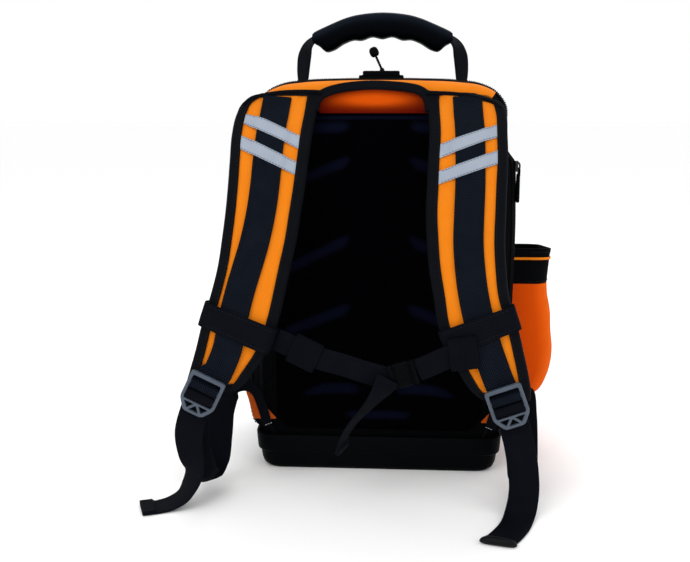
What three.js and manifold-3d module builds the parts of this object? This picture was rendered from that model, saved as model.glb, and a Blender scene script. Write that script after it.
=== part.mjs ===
// Tool backpack: a stiff-based bag with padded shoulder straps, standing on a floor.
// Millimetres, +Z up. The worn side faces -Y, the side pocket faces +X, and the base stands on z = 0.
import * as THREE from "three";
import Module from "manifold-3d";
import { mergeVertices } from "three/addons/utils/BufferGeometryUtils.js";

const wasm = await Module();
wasm.setup();

// Driving dimensions
const GAP = 0.4;
const BACK_Y = -92;
const FRONT_Y = 106;
const WALL = 3;
const TOP_Z = 465;
const BASE_RIM_Z = 45;
const WEB_WIDTH = 34;
const WEB_THICK = 2;
const STRIP_THICK = 1.6;
const NARROW_WEB = 25;
const BINDING_THICK = 1.2;
const BINDING_REACH = 11;
const PAD_THICK = 15;
const PIPING_RADIUS = 2;

// Right half of the body seen from the back: half width against height
const BODY_OUTLINE = [
  { half: 142.5, z: 34 },
  { half: 144.8, z: BASE_RIM_Z },
  { half: 151, z: 60 },
  { half: 156, z: 82 },
  { half: 157, z: 180 },
  { half: 157, z: 320 },
  { half: 153, z: 390 },
  { half: 148, z: 418 },
  { half: 141.5, z: 437 },
  { half: 130, z: 451 },
  { half: 113, z: 459 },
  { half: 90, z: 462.5 },
  { half: 45, z: 464.5 },
  { half: 0, z: TOP_Z },
];

// Rounding of the body's edges: how far the side wall is set in at each depth
const GUSSET_PROFILE = [
  { y: BACK_Y, inset: 18 },
  { y: -86, inset: 7 },
  { y: -74, inset: 1.5 },
  { y: -50, inset: 0 },
  { y: 50, inset: 0 },
  { y: 88, inset: 2 },
  { y: 100, inset: 9 },
  { y: FRONT_Y, inset: 22 },
];

// Tiers of the base tub, outside from the floor up and then inside from the rim down
const BASE_TIERS = [
  { z: 0, half: 136, back: -91.5, front: 104, round: 13 },
  { z: 4, half: 141, back: -95, front: 106, round: 15 },
  { z: 11, half: 143.5, back: -96.5, front: 107.5, round: 16 },
  { z: 22, half: 145, back: -97.5, front: 108.5, round: 17 },
  { z: 24, half: 148, back: -100, front: 111.5, round: 18 },
  { z: BASE_RIM_Z, half: 149.5, back: -101, front: 113, round: 19 },
  { z: BASE_RIM_Z, half: 145.4, back: -95.4, front: 109.4, round: 18.5 },
  { z: 9, half: 138, back: -89, front: 103, round: 15 },
  { z: 4.5, half: 130, back: -82, front: 96, round: 12 },
];

// Shoulder straps from the top seam to the lock: edges, depth, and how far the webbing lies off centre
const LEFT_STRAP = [
  { z: 447, y: -103.5, outer: -130, inner: -86, web: 0, thick: 8 },
  { z: 437, y: -108, outer: -151, inner: -77, web: 0, thick: 10 },
  { z: 426, y: -114, outer: -157, inner: -73, web: 0, thick: 13 },
  { z: 404, y: -128, outer: -161, inner: -75, web: 0, thick: PAD_THICK },
  { z: 376, y: -142, outer: -162, inner: -78, web: 0.5, thick: PAD_THICK },
  { z: 348, y: -152, outer: -163, inner: -81, web: 0.5, thick: PAD_THICK },
  { z: 320, y: -160, outer: -165, inner: -85, web: 1, thick: PAD_THICK },
  { z: 292, y: -168, outer: -168, inner: -89, web: 3, thick: PAD_THICK },
  { z: 264, y: -174, outer: -172, inner: -95, web: 6, thick: PAD_THICK },
  { z: 235, y: -180, outer: -179, inner: -101, web: 8, thick: PAD_THICK },
  { z: 206, y: -184, outer: -188, inner: -108, web: 7, thick: PAD_THICK },
  { z: 174, y: -188, outer: -196, inner: -120, web: 3.5, thick: 14 },
  { z: 150, y: -190.5, outer: -203, inner: -136, web: 2.5, thick: 12 },
  { z: 140, y: -191, outer: -206, inner: -143, web: 2.5, thick: 10 },
  { z: 131, y: -190, outer: -206, inner: -153, web: 2.5, thick: 9 },
];
const RIGHT_STRAP = [
  { z: 447, y: -103.5, outer: 118, inner: 72, web: 0, thick: 8 },
  { z: 437, y: -108, outer: 130, inner: 63, web: 0, thick: 10 },
  { z: 426, y: -114, outer: 135, inner: 59, web: 0, thick: 13 },
  { z: 404, y: -128, outer: 137, inner: 56, web: 1, thick: PAD_THICK },
  { z: 376, y: -142, outer: 137.5, inner: 54, web: 2, thick: PAD_THICK },
  { z: 348, y: -152, outer: 136, inner: 53, web: 3, thick: PAD_THICK },
  { z: 320, y: -160, outer: 135, inner: 52, web: 3, thick: PAD_THICK },
  { z: 292, y: -168, outer: 134, inner: 53.5, web: 2, thick: PAD_THICK },
  { z: 264, y: -174, outer: 135.5, inner: 56, web: 2, thick: PAD_THICK },
  { z: 235, y: -180, outer: 139, inner: 61, web: 2, thick: PAD_THICK },
  { z: 206, y: -184, outer: 148, inner: 66, web: 2, thick: PAD_THICK },
  { z: 174, y: -188, outer: 156, inner: 79, web: 2, thick: 14 },
  { z: 148, y: -190.5, outer: 162, inner: 93, web: 2, thick: 12 },
  { z: 136, y: -191, outer: 164, inner: 101, web: 2, thick: 10 },
  { z: 126, y: -190, outer: 164, inner: 112, web: 2, thick: 9 },
];

// Ladder locks: centre and lean about Y, and their own layout below or above the centre
const LEFT_LOCK = { centre: [-189, -204.5, 126], lean: 26 };
const RIGHT_LOCK = { centre: [142.5, -204.5, 119], lean: -20 };
const LOCK = { half: 23, slot: 18, thick: 5, top: -22.5, shoulder: 10, tipHalf: 11, tip: 22 };
const LOCK_SLOTS = [[-17.5, -11.5], [-7.5, 0], [4, 9.5]];
const LOCK_LATTICE = [
  [[-14, 12.5], [-4, 12.5], [-9, 18]],
  [[4, 12.5], [14, 12.5], [9, 18]],
  [[-5, 19], [0, 13.5], [5, 19]],
];

// Webbing routes inside a lock: distance below the centre and in front of the mid plane
const STRIP_IN_LOCK = [
  [-19, -4.4], [-16.6, -4.2], [-14.3, -2], [-13.5, 1], [-12.9, 3.3], [-11, 4.2],
  [-8.2, 4.2], [-6.3, 3], [-5.8, 0], [-6.2, -2.8],
];
const ADJUSTER_IN_LOCK = [
  [30, -9.5], [12, -8.6], [5, -6.8], [1, -4.9], [-1.4, -3.2], [-2.2, 0], [-1.4, 3.2],
  [1, 4.2], [4, 4.2], [6.3, 2.9], [7, 0], [7.4, -2.4], [9, -4.5], [24, -4.8],
];

// Adjusting webbing outside the locks: points on the route, and the direction of its width
const LEFT_LOOP = [
  { at: [-149.5, -97.9, 98.5], across: [0.69, 0, 0.72] },
  { at: [-157, -102, 107], across: [0.72, 0.1, 0.68] },
  { at: [-166, -110, 114], across: [0.78, 0.3, 0.55] },
  { at: [-175, -120, 110], across: [0.84, 0.48, 0.25] },
  { at: [-182, -129, 90], across: [0.87, 0.5, 0] },
  { at: [-186, -137, 58], across: [0.82, 0.57, 0] },
  { at: [-191.5, -143, 32], across: [0.7, 0.71, 0] },
  { at: [-196.5, -149, 16], across: [0.58, 0.81, 0] },
  { at: [-199, -157, 10], across: [0.55, 0.83, 0] },
  { at: [-200, -166, 15], across: [0.6, 0.8, -0.05] },
  { at: [-199.5, -177, 37], across: [0.8, 0.55, -0.2] },
  { at: [-200, -187, 66], across: [0.92, 0.1, -0.35] },
];
const LEFT_TAIL = [
  { at: [-205, -202, 80], across: [0.97, -0.15, -0.15] },
  { at: [-203, -203, 58], across: [0.92, -0.32, 0.15] },
  { at: [-200.5, -203, 38], across: [0.74, -0.62, 0.18] },
  { at: [-206, -204, 23], across: [0.66, -0.74, 0.1] },
  { at: [-214, -206, 11], across: [0.55, -0.83, 0.05] },
  { at: [-226, -209, 4], across: [0.47, -0.88, 0] },
  { at: [-240, -212.5, 1.6], across: [0.42, -0.91, 0] },
  { at: [-256, -216, 1.6], across: [0.42, -0.91, 0] },
];
const RIGHT_LOOP = [
  { at: [149.5, -97.9, 98.5], across: [0.69, 0, -0.72] },
  { at: [156.5, -102, 106.5], across: [0.72, -0.1, -0.68] },
  { at: [162.5, -110, 112], across: [0.82, -0.25, -0.5] },
  { at: [165, -120, 108], across: [0.9, -0.36, -0.22] },
  { at: [167, -129, 88], across: [0.93, -0.36, 0] },
  { at: [168, -137, 57], across: [0.94, -0.33, 0] },
  { at: [168, -143, 30], across: [0.95, -0.3, 0] },
  { at: [167.5, -149, 13], across: [0.96, -0.28, 0] },
  { at: [167, -157, 7.5], across: [0.96, -0.26, 0] },
  { at: [166, -166, 13], across: [0.97, -0.22, 0.05] },
  { at: [162, -177, 34], across: [0.97, -0.12, 0.18] },
  { at: [158, -187, 60], across: [0.95, -0.05, 0.28] },
];
const RIGHT_TAIL = [
  { at: [155, -202.5, 72], across: [0.98, 0, 0.18] },
  { at: [159, -204, 48], across: [1, 0, 0.06] },
  { at: [160, -207, 25], across: [1, -0.05, 0] },
  { at: [159.5, -213, 10], across: [0.99, -0.12, 0] },
  { at: [155.5, -224, 3.2], across: [0.96, -0.28, 0] },
  { at: [146, -242, 1.6], across: [0.92, -0.4, 0] },
  { at: [135, -259, 1.6], across: [0.9, -0.43, 0] },
  { at: [126.5, -272, 1.6], across: [0.92, -0.4, 0] },
];

// Sternum strap, from the left band to the buckle, the right band to the buckle, and its loose end
const STERNUM_LEFT = [
  { at: [-109, -185.6, 186.4], across: [0.2, 0, 1] },
  { at: [-80, -189, 180], across: [0.25, 0, 1] },
  { at: [-45, -193, 168], across: [0.3, 0, 1] },
  { at: [-14, -196, 159], across: [0.22, 0, 1] },
  { at: [9.6, -197, 155.4], across: [0.16, 0, 1] },
];
const STERNUM_RIGHT = [
  { at: [45.4, -196.6, 160.6], across: [-0.14, 0, 1] },
  { at: [55, -194, 165.5], across: [-0.5, 0, 1] },
  { at: [71.4, -187, 178.6], across: [-0.6, 0, 1] },
];
const STERNUM_TAIL = [
  { at: [12, -202.9, 151], across: [0.75, 0, -0.66] },
  { at: [-3, -204.5, 135], across: [0.72, 0, -0.7] },
  { at: [-18, -202, 114], across: [0.8, -0.1, -0.58] },
  { at: [-30, -194, 90], across: [0.87, -0.2, -0.45] },
  { at: [-38, -187, 70], across: [0.9, -0.2, -0.35] },
  { at: [-42, -183, 58], across: [0.92, -0.2, -0.3] },
];
const STERNUM_BUCKLE = { centre: [27.5, -197, 157], size: [31, 9, 28], lean: -8, round: 6 };
const STERNUM_KEEPER = { centre: [-74, -189.7, 178], length: 30, height: 35, thick: 7.5, wall: 2 };
const KEEPER_TURN = { lean: 17, yaw: -4.6 };

// Handle: top and underside of the grip against distance from its middle, and the webbing legs
const GRIP_DEPTH = 34;
const GRIP_ROUND = 9;
const GRIP_HALF = [
  { x: 0, top: 545.5, under: 515 },
  { x: 12, top: 545, under: 517.3 },
  { x: 25, top: 543.6, under: 513.3 },
  { x: 35, top: 541.8, under: 513.6 },
  { x: 46, top: 538.6, under: 509.6 },
  { x: 60, top: 533, under: 501.5 },
  { x: 68, top: 529.5, under: 500 },
  { x: 77, top: 525.5, under: 507 },
  { x: 84, top: 521.5, under: 510.5 },
];
const HANDLE_LEG = [
  { at: [97, 0, 463.35], across: [0.55, 0.84, 0] },
  { at: [96, 0, 482], across: [0.53, 0.85, 0] },
  { at: [93.5, 0, 497], across: [0.5, 0.87, 0] },
  { at: [89.5, 0, 508], across: [0.35, 0.94, 0] },
  { at: [83, 0, 514.5], across: [0, 1, 0] },
  { at: [74, 0, 517.5], across: [0, 1, 0] },
];

// Back pad: slanted ribs of the left half, given by their four corners, and the lumbar lobes
const BACK_PAD = { half: 122, bottom: 52, top: 425, round: 22, thick: 6, ribRound: 11 };
const RIB_STEPS = [
  { share: 1, height: -2.1 },
  { share: 1, height: 2.7 },
  { share: 0.93, height: 5.9 },
  { share: 0.72, height: 8 },
];
const BACK_RIBS = [
  [[-29, 392], [-29, 418], [-104, 416], [-112, 362]],
  [[-29, 304], [-29, 384], [-112, 350], [-116, 262]],
  [[-29, 232], [-29, 295], [-116, 251], [-117, 200]],
  [[-29, 158], [-29, 223], [-117, 190], [-117, 150]],
  [[-15, 100], [-16, 140], [-100, 142], [-112, 100]],
];
const LUMBAR_TAIL = [[-44, 64], [-38, 90], [38, 90], [44, 64]];

// Shaded orange panel under the arch, in front of the corded edge
const UPPER_BACK = {
  corners: [[-70, 427], [56, 427], [54.6, 438.6], [36, 448], [-7, 452], [-50, 448], [-68.6, 438.6]],
  round: 4,
  depths: [-96.7, -98.7],
};

// Yoke: width of the orange band against distance from the middle of the arch
const YOKE = { middle: -7, half: 131, foot: 440, thick: 3.5 };
const YOKE_PROFILE = [[-80.5, 4], [-91, 6], [-97.8, 14.5], [-97.8, 30]];
const YOKE_WIDTH = [
  [0, 8.5], [36, 9], [50, 11], [62, 14], [80, 21.5], [97, 21.5], [108, 17], [131, 11],
];
const ARCH = { width: 11, thick: 5, round: 2, tilt: 0.35 };
const ARCH_ROUTE = [
  [-70, -105, 446], [-60, -103, 450], [-48, -100.5, 454], [-28, -98, 457], [-7, -97.2, 458],
  [14, -98, 457], [34, -100.5, 454], [46, -103, 450], [56, -105, 446],
];

// Side pocket: reach from the wall against height, and its black top band
const POCKET = { back: -54, front: 66, wall: 2, round: 20, bandFoot: 225, top: 268, slope: 0.1 };
const POCKET_REACH = [
  { z: 80, reach: 24 },
  { z: 88, reach: 41 },
  { z: 108, reach: 52 },
  { z: 140, reach: 56 },
  { z: 185, reach: 50 },
  { z: POCKET.bandFoot, reach: 46 },
];
const POCKET_TOP_REACH = 49;
const POCKET_TRIM = { z: 256, height: 3, thick: 1 };

// Zip on the side wall, its slider and its hanging pull
const ZIP = { sideY: -77, topY: -69, half: 8, coil: 2.5, tape: 1, rise: 2.2, seat: 0.8 };
const SLIDER = { z: 367, length: 13, width: 9, thick: 3.5, wire: 1.6 };
const BAIL = { length: 11, rise: 5, width: 4, root: 1 };
const PULL = { wire: 1.9, half: 6.5, loop: 15, tabWidth: 10, tabLength: 28, tabThick: 3.6, tabRound: 3.5 };

// Large walls: seam inset from the outline, swell towards the middle, and the height of that middle
const WALL_MIDDLE_Z = 250;
const BACK_WALL = { y: BACK_Y, inward: 1, inset: 18.6, swell: 0, pipingInset: 17.6 };
const FRONT_WALL = { y: FRONT_Y, inward: -1, inset: 22.6, swell: 9, pipingInset: 21.5 };

// Reflectors and cross bands: places counted in rows of the strap table
const REFLECTOR = { length: 0.48, thick: 0.7, rise: 0.7, ramp: 2.7, clear: 1.8, step: 0.95 };
const CROSS_BAND = { from: 9.75, to: 10.6, round: 4 };

// Orange triangle at a lower corner of the back, right side
const WING = {
  corners: [[124, 60], [147, 57], [160, 84], [136, 109], [126, 100]],
  round: 3,
  depths: [-96.6, -98.8],
};

// Block and toggle on the top, in front of the handle
const TOP_CLIP = {
  steps: [[-26, 0], [26, 0], [26, 5], [21.5, 5], [21.5, 10], [-21.5, 10], [-21.5, 5], [-26, 5]],
  height: 10,
  depth: 22,
  front: -35,
};
const TOGGLE = { at: [0.5, -46], lift: 1.7, lean: -25, sides: 10 };
const TOGGLE_PROFILE = [
  [0, 0], [3, 0], [3, 1.5], [1.7, 2.5], [1.7, 15],
  [3.8, 16.8], [5.1, 19.8], [5.1, 23.8], [3.6, 26.8], [0, 27.8],
];

const COLOURS = {
  orange: { color: 0xf07a12, roughness: 0.75, metalness: 0 },
  deepOrange: { color: 0xb84a0a, roughness: 0.8, metalness: 0 },
  bodyFabric: { color: 0x15161a, roughness: 0.85, metalness: 0 },
  mesh: { color: 0x101116, roughness: 0.95, metalness: 0 },
  webbing: { color: 0x14161c, roughness: 0.8, metalness: 0 },
  moulded: { color: 0x17181b, roughness: 0.5, metalness: 0 },
  lockPlastic: { color: 0x4a515c, roughness: 0.45, metalness: 0 },
  reflector: { color: 0xa6b0bd, roughness: 0.4, metalness: 0.2 },
  metal: { color: 0x26282c, roughness: 0.35, metalness: 0.8 },
};

const backpack = new THREE.Group();

function addPart(name, geometry, look) {
  const mesh = new THREE.Mesh(geometry, new THREE.MeshStandardMaterial(COLOURS[look]));
  mesh.name = name;
  backpack.add(mesh);
}

function point(x, y, z) {
  return new THREE.Vector3(x, y, z);
}

// Triangles of a flat ring, wound the way the ring runs
function capTriangles(ring) {
  const normal = point(0, 0, 0);
  ring.forEach((p, i) => normal.add(point(0, 0, 0).crossVectors(p, ring[(i + 1) % ring.length])));
  normal.normalize();
  const along = point(0, 0, 0).subVectors(ring[1], ring[0]).normalize();
  const aside = point(0, 0, 0).crossVectors(normal, along);
  const flat = ring.map((p) => new THREE.Vector2(p.dot(along), p.dot(aside)));
  return THREE.ShapeUtils.triangulateShape(flat, []).map(([i, j, k]) => {
    const turn = flat[j].clone().sub(flat[i]).cross(flat[k].clone().sub(flat[i]));
    return turn < 0 ? [i, k, j] : [i, j, k];
  });
}

function signedVolume(positions, triangles) {
  const corner = (i) => point(positions[3 * i], positions[3 * i + 1], positions[3 * i + 2]);
  let volume = 0;
  for (let i = 0; i < triangles.length; i += 3) {
    const side = corner(triangles[i + 1]).cross(corner(triangles[i + 2]));
    volume += corner(triangles[i]).dot(side) / 6;
  }
  return volume;
}

function indexedGeometry(positions, triangles) {
  const geometry = new THREE.BufferGeometry();
  geometry.setAttribute("position", new THREE.Float32BufferAttribute(positions, 3));
  geometry.setIndex(triangles);
  return geometry;
}

// Closed skin over a run of rings, each face split along its shorter diagonal;
// a looped run joins its last ring to its first
function skin(rings, looped = false) {
  const count = rings[0].length;
  const positions = rings.flat().flatMap((p) => [p.x, p.y, p.z]);
  const triangles = [];
  const spans = looped ? rings.length : rings.length - 1;
  for (let k = 0; k < spans; k += 1) {
    const next = (k + 1) % rings.length;
    for (let i = 0; i < count; i += 1) {
      const j = (i + 1) % count;
      const [a, b, c, d] = [k * count + i, k * count + j, next * count + j, next * count + i];
      const slant = rings[k][i].distanceTo(rings[next][j]);
      const otherSlant = rings[k][j].distanceTo(rings[next][i]);
      triangles.push(...(slant <= otherSlant ? [a, b, c, a, c, d] : [a, b, d, b, c, d]));
    }
  }
  if (!looped) {
    const last = (rings.length - 1) * count;
    capTriangles(rings[0]).forEach(([i, j, k]) => triangles.push(i, k, j));
    capTriangles(rings[rings.length - 1]).forEach((t) => triangles.push(...t.map((i) => last + i)));
  }
  if (signedVolume(positions, triangles) < 0) triangles.reverse();
  return indexedGeometry(positions, triangles);
}

function solidOf(geometry) {
  const bare = new THREE.BufferGeometry();
  bare.setAttribute("position", geometry.getAttribute("position"));
  bare.setIndex(geometry.getIndex());
  const merged = mergeVertices(bare, 1e-4);
  const vertProperties = new Float32Array(merged.getAttribute("position").array);
  const triVerts = new Uint32Array(merged.getIndex().array);
  return new wasm.Manifold(new wasm.Mesh({ numProp: 3, vertProperties, triVerts }));
}

function geometryOf(solid) {
  const mesh = solid.getMesh();
  return indexedGeometry(Array.from(mesh.vertProperties), Array.from(mesh.triVerts));
}

// Value of a table of [input, output] pairs, straight between its rows
function lookUp(table, input) {
  const last = table.length - 1;
  if (input <= table[0][0]) return table[0][1];
  if (input >= table[last][0]) return table[last][1];
  const i = table.findIndex((row) => row[0] >= input);
  const share = (input - table[i - 1][0]) / (table[i][0] - table[i - 1][0]);
  return THREE.MathUtils.lerp(table[i - 1][1], table[i][1], share);
}

// Rectangle with round corners as [a, b] pairs, three points to a corner
function roundedRectangle(halfA, halfB, round) {
  const corners = [[1, 1, 0], [-1, 1, 90], [-1, -1, 180], [1, -1, 270]];
  return corners.flatMap(([a, b, start]) => [0, 45, 90].map((turn) => {
    const angle = THREE.MathUtils.degToRad(start + turn);
    return [a * (halfA - round) + round * Math.cos(angle), b * (halfB - round) + round * Math.sin(angle)];
  }));
}

// Polygon with each corner cut to a curve of three points
function roundedPolygon(corners, round) {
  return corners.flatMap((corner, i) => {
    const here = new THREE.Vector2(...corner);
    const before = new THREE.Vector2(...corners[(i + corners.length - 1) % corners.length]);
    const after = new THREE.Vector2(...corners[(i + 1) % corners.length]);
    const start = here.clone().add(before.sub(here).setLength(round));
    const end = here.clone().add(after.sub(here).setLength(round));
    const middle = start.clone().add(end).multiplyScalar(0.25).add(here.clone().multiplyScalar(0.5));
    return [start, middle, end];
  });
}

// Stations around the body from the left foot over the top to the right foot, with outward normals
function bodyStations() {
  const right = BODY_OUTLINE.map((row) => new THREE.Vector2(row.half, row.z));
  const left = right.slice(0, -1).map((p) => new THREE.Vector2(-p.x, p.y));
  const all = [...left, ...right.slice().reverse()];
  return all.map((p, i) => {
    const before = all[Math.max(i - 1, 0)];
    const after = all[Math.min(i + 1, all.length - 1)];
    const run = after.clone().sub(before).normalize();
    return { p, normal: new THREE.Vector2(-run.y, run.x) };
  });
}

function onBody(station, inset, y) {
  return point(station.p.x - station.normal.x * inset, y, station.p.y - station.normal.y * inset);
}

function insetAt(y) {
  return lookUp(GUSSET_PROFILE.map((row) => [row.y, row.inset]), y);
}

const STATIONS = bodyStations();

function gussetGeometry() {
  const middle = (BACK_Y + FRONT_Y) / 2;
  const shrink = 1 - (2 * WALL) / (FRONT_Y - BACK_Y);
  const outside = GUSSET_PROFILE.map((row) => [row.inset, row.y]);
  const inside = GUSSET_PROFILE.map((row) => [row.inset + WALL, middle + (row.y - middle) * shrink]);
  const section = [...outside, ...inside.reverse()];
  return skin(STATIONS.map((station) => section.map(([inset, y]) => onBody(station, inset, y))));
}

// Large wall of the body: an outline set inside the gusset, swelling by a pillow towards its middle
function panelGeometry({ y, inward, inset, swell }) {
  const centre = point(0, y, WALL_MIDDLE_Z);
  const ring = (scale, depth, extraInset) => STATIONS.map((station) => {
    const edge = onBody(station, inset + extraInset, y);
    const p = centre.clone().lerp(edge, scale);
    return point(p.x, y + depth, p.z);
  });
  const inside = inward * (WALL + 1);
  const out = -inward * swell;
  return skin([
    ring(0.3, out, 0), ring(0.65, out * 0.85, 0), ring(0.9, out * 0.35, 0), ring(1, 0, 0),
    ring(1, inside, WALL + 1.2), ring(0.65, inside + out * 0.6, 0), ring(0.3, inside + out * 0.8, 0),
  ]);
}

function pipingGeometry({ y, inward, pipingInset }) {
  const middleY = y - inward * (GAP + PIPING_RADIUS);
  const sides = [0, 60, 120, 180, 240, 300].map((a) => THREE.MathUtils.degToRad(a));
  return skin(STATIONS.slice(1, -1).map((station) => sides.map((angle) => (
    onBody(station, pipingInset + PIPING_RADIUS * Math.cos(angle), middleY + PIPING_RADIUS * Math.sin(angle))
  ))));
}

function baseGeometry() {
  return skin(BASE_TIERS.map((tier) => {
    const depth = (tier.front - tier.back) / 2;
    const middle = (tier.front + tier.back) / 2;
    return roundedRectangle(tier.half, depth, tier.round).map(([x, y]) => point(x, middle + y, tier.z));
  }));
}

// Depth of the zip: near the back edge on the side walls, further forward over the top
function zipDepth(z) {
  return lookUp([[400, ZIP.sideY], [450, ZIP.topY]], z);
}

function zipTapeGeometry() {
  const under = [-1, -0.5, 0, 0.5, 1].map((share) => [share * ZIP.half, 0]);
  const over = [
    [ZIP.half, ZIP.tape], [ZIP.coil, ZIP.tape], [ZIP.coil / 2, ZIP.rise],
    [-ZIP.coil / 2, ZIP.rise], [-ZIP.coil, ZIP.tape], [-ZIP.half, ZIP.tape],
  ];
  return skin(STATIONS.slice(3, -3).map((station) => [...under, ...over].map(([aside, height]) => {
    const y = zipDepth(station.p.y) + aside;
    return onBody(station, insetAt(y) - ZIP.seat - height, y);
  })));
}

function boxGeometry(size, centre) {
  return new THREE.BoxGeometry(...size).translate(...centre);
}

// Reach of the zip coil at the slider, where the slider sits
function sliderSeat() {
  const half = lookUp(BODY_OUTLINE.map((row) => [row.z, row.half]), SLIDER.z);
  return half - insetAt(ZIP.sideY + ZIP.coil) + ZIP.seat + ZIP.rise + GAP;
}

function pivotPoint() {
  const x = sliderSeat() + SLIDER.thick + (BAIL.rise - SLIDER.wire) / 2;
  const z = SLIDER.z - BAIL.length / 2 + SLIDER.wire + PULL.wire / 2 + GAP;
  return point(x, ZIP.sideY, z);
}

function sliderGeometry() {
  const x = sliderSeat();
  const bodySize = [SLIDER.thick, SLIDER.width, SLIDER.length];
  const body = boxGeometry(bodySize, [x + SLIDER.thick / 2, ZIP.sideY, SLIDER.z]);
  const bailX = x + SLIDER.thick + (BAIL.rise - BAIL.root) / 2;
  const outer = boxGeometry([BAIL.rise + BAIL.root, BAIL.width, BAIL.length], [bailX, ZIP.sideY, SLIDER.z]);
  const eyeSize = [BAIL.rise - SLIDER.wire, BAIL.width * 2, BAIL.length - 2 * SLIDER.wire];
  const eyeX = x + SLIDER.thick + (BAIL.rise - SLIDER.wire) / 2;
  const eye = boxGeometry(eyeSize, [eyeX, ZIP.sideY, SLIDER.z]);
  return geometryOf(solidOf(body).add(solidOf(outer)).subtract(solidOf(eye)));
}

function pullGeometry() {
  const pivot = pivotPoint();
  const { wire, half, loop } = PULL;
  const loopCentre = [pivot.x, pivot.y, pivot.z + wire / 2 - loop / 2];
  const outer = solidOf(boxGeometry([wire, 2 * half, loop], loopCentre));
  const hole = solidOf(boxGeometry([wire * 2, 2 * (half - wire), loop - 2 * wire], loopCentre));
  const tabTop = pivot.z + wire / 2 - loop + wire * 1.2;
  const tabRing = roundedRectangle(PULL.tabWidth / 2, PULL.tabLength / 2, PULL.tabRound);
  const tab = skin([-1, 1].map((side) => tabRing.map(([y, z]) => (
    point(pivot.x + side * PULL.tabThick / 2, pivot.y + y, tabTop - PULL.tabLength / 2 + z)
  ))));
  return geometryOf(outer.subtract(hole).add(solidOf(tab)));
}

// Level ring of the pocket: round outside corners and a flat back against the wall
function pocketRing(z, reach, grow, slope = 0) {
  const wallX = Math.max(...BODY_OUTLINE.map((row) => row.half)) + 1.5 * GAP;
  const x = wallX + reach + grow;
  const back = POCKET.back - grow;
  const front = POCKET.front + grow;
  const round = Math.min(POCKET.round, reach * 0.7);
  const arc = (centreY, start) => [0, 30, 60, 90].map((turn) => {
    const angle = THREE.MathUtils.degToRad(start + turn);
    return point(x - round + round * Math.cos(angle), centreY + round * Math.sin(angle), z);
  });
  const foot = wallX - Math.min(grow, 0);
  const curve = [...arc(back + round, -90), ...arc(front - round, 0)];
  const ring = [point(foot, back, z), ...curve, point(foot, front, z)];
  return ring.map((p) => point(p.x, p.y, p.z - slope * (p.y - POCKET.back)));
}

function pouchGeometry() {
  const outside = POCKET_REACH.map((row) => pocketRing(row.z, row.reach, 0));
  const inside = POCKET_REACH.slice(1).reverse().map((row, i, rows) => (
    pocketRing(row.z + (i === rows.length - 1 ? POCKET.wall : 0), row.reach, -POCKET.wall)
  ));
  return skin([...outside, ...inside]);
}

function pocketBandGeometry() {
  const foot = POCKET.bandFoot + GAP;
  const reach = POCKET_REACH[POCKET_REACH.length - 1].reach;
  return skin([
    pocketRing(foot, reach, 0),
    pocketRing(POCKET.top, POCKET_TOP_REACH, 0, POCKET.slope),
    pocketRing(POCKET.top, POCKET_TOP_REACH, -POCKET.wall, POCKET.slope),
    pocketRing(foot, reach, -POCKET.wall),
  ], true);
}

function pocketTrimGeometry() {
  const low = POCKET_TRIM.z - POCKET_TRIM.height / 2;
  const high = POCKET_TRIM.z + POCKET_TRIM.height / 2;
  const footReach = POCKET_REACH[POCKET_REACH.length - 1].reach;
  const slope = (POCKET_TOP_REACH - footReach) / (POCKET.top - POCKET.bandFoot);
  const reachAt = (z) => footReach + slope * (z - POCKET.bandFoot);
  const fall = (POCKET.slope * (POCKET_TRIM.z - POCKET.bandFoot)) / (POCKET.top - POCKET.bandFoot);
  const line = (z, grow) => pocketRing(z, reachAt(z), grow, fall);
  const near = GAP;
  const far = GAP + POCKET_TRIM.thick;
  const sides = [line(low, near), line(low, far), line(high, far), line(high, near)];
  return skin(sides[0].map((_, i) => sides.map((side) => side[i])));
}

// Back pad: a backing sheet with raised ribs, as one moulded piece
function backPadGeometry() {
  const seat = BACK_Y - GAP;
  const face = seat - BACK_PAD.thick;
  const lift = (ring, y) => ring.map((p) => point(p.x, y, p.y));
  const { half, bottom, top, round } = BACK_PAD;
  const sheetCorners = [[-half, bottom], [half, bottom], [half, top], [-half, top]];
  const sheet = roundedPolygon(sheetCorners, round);
  let pad = solidOf(skin([lift(sheet, seat), lift(sheet, face)]));
  const mirrored = BACK_RIBS.map((rib) => rib.map(([x, z]) => [-x, z]));
  [...BACK_RIBS, ...mirrored, LUMBAR_TAIL].forEach((rib) => {
    const middleX = rib.reduce((sum, p) => sum + p[0], 0) / rib.length;
    const middleZ = rib.reduce((sum, p) => sum + p[1], 0) / rib.length;
    const shrink = (share) => rib.map(([x, z]) => (
      [middleX + (x - middleX) * share, middleZ + (z - middleZ) * share]
    ));
    const rings = RIB_STEPS.map(({ share, height }) => (
      lift(roundedPolygon(shrink(share), BACK_PAD.ribRound * share), face - height)
    ));
    pad = pad.add(solidOf(skin(rings)));
  });
  return geometryOf(pad);
}

function upperBackGeometry() {
  const ring = roundedPolygon(UPPER_BACK.corners, UPPER_BACK.round);
  return skin(UPPER_BACK.depths.map((y) => ring.map((p) => point(p.x, y, p.y))));
}

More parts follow.
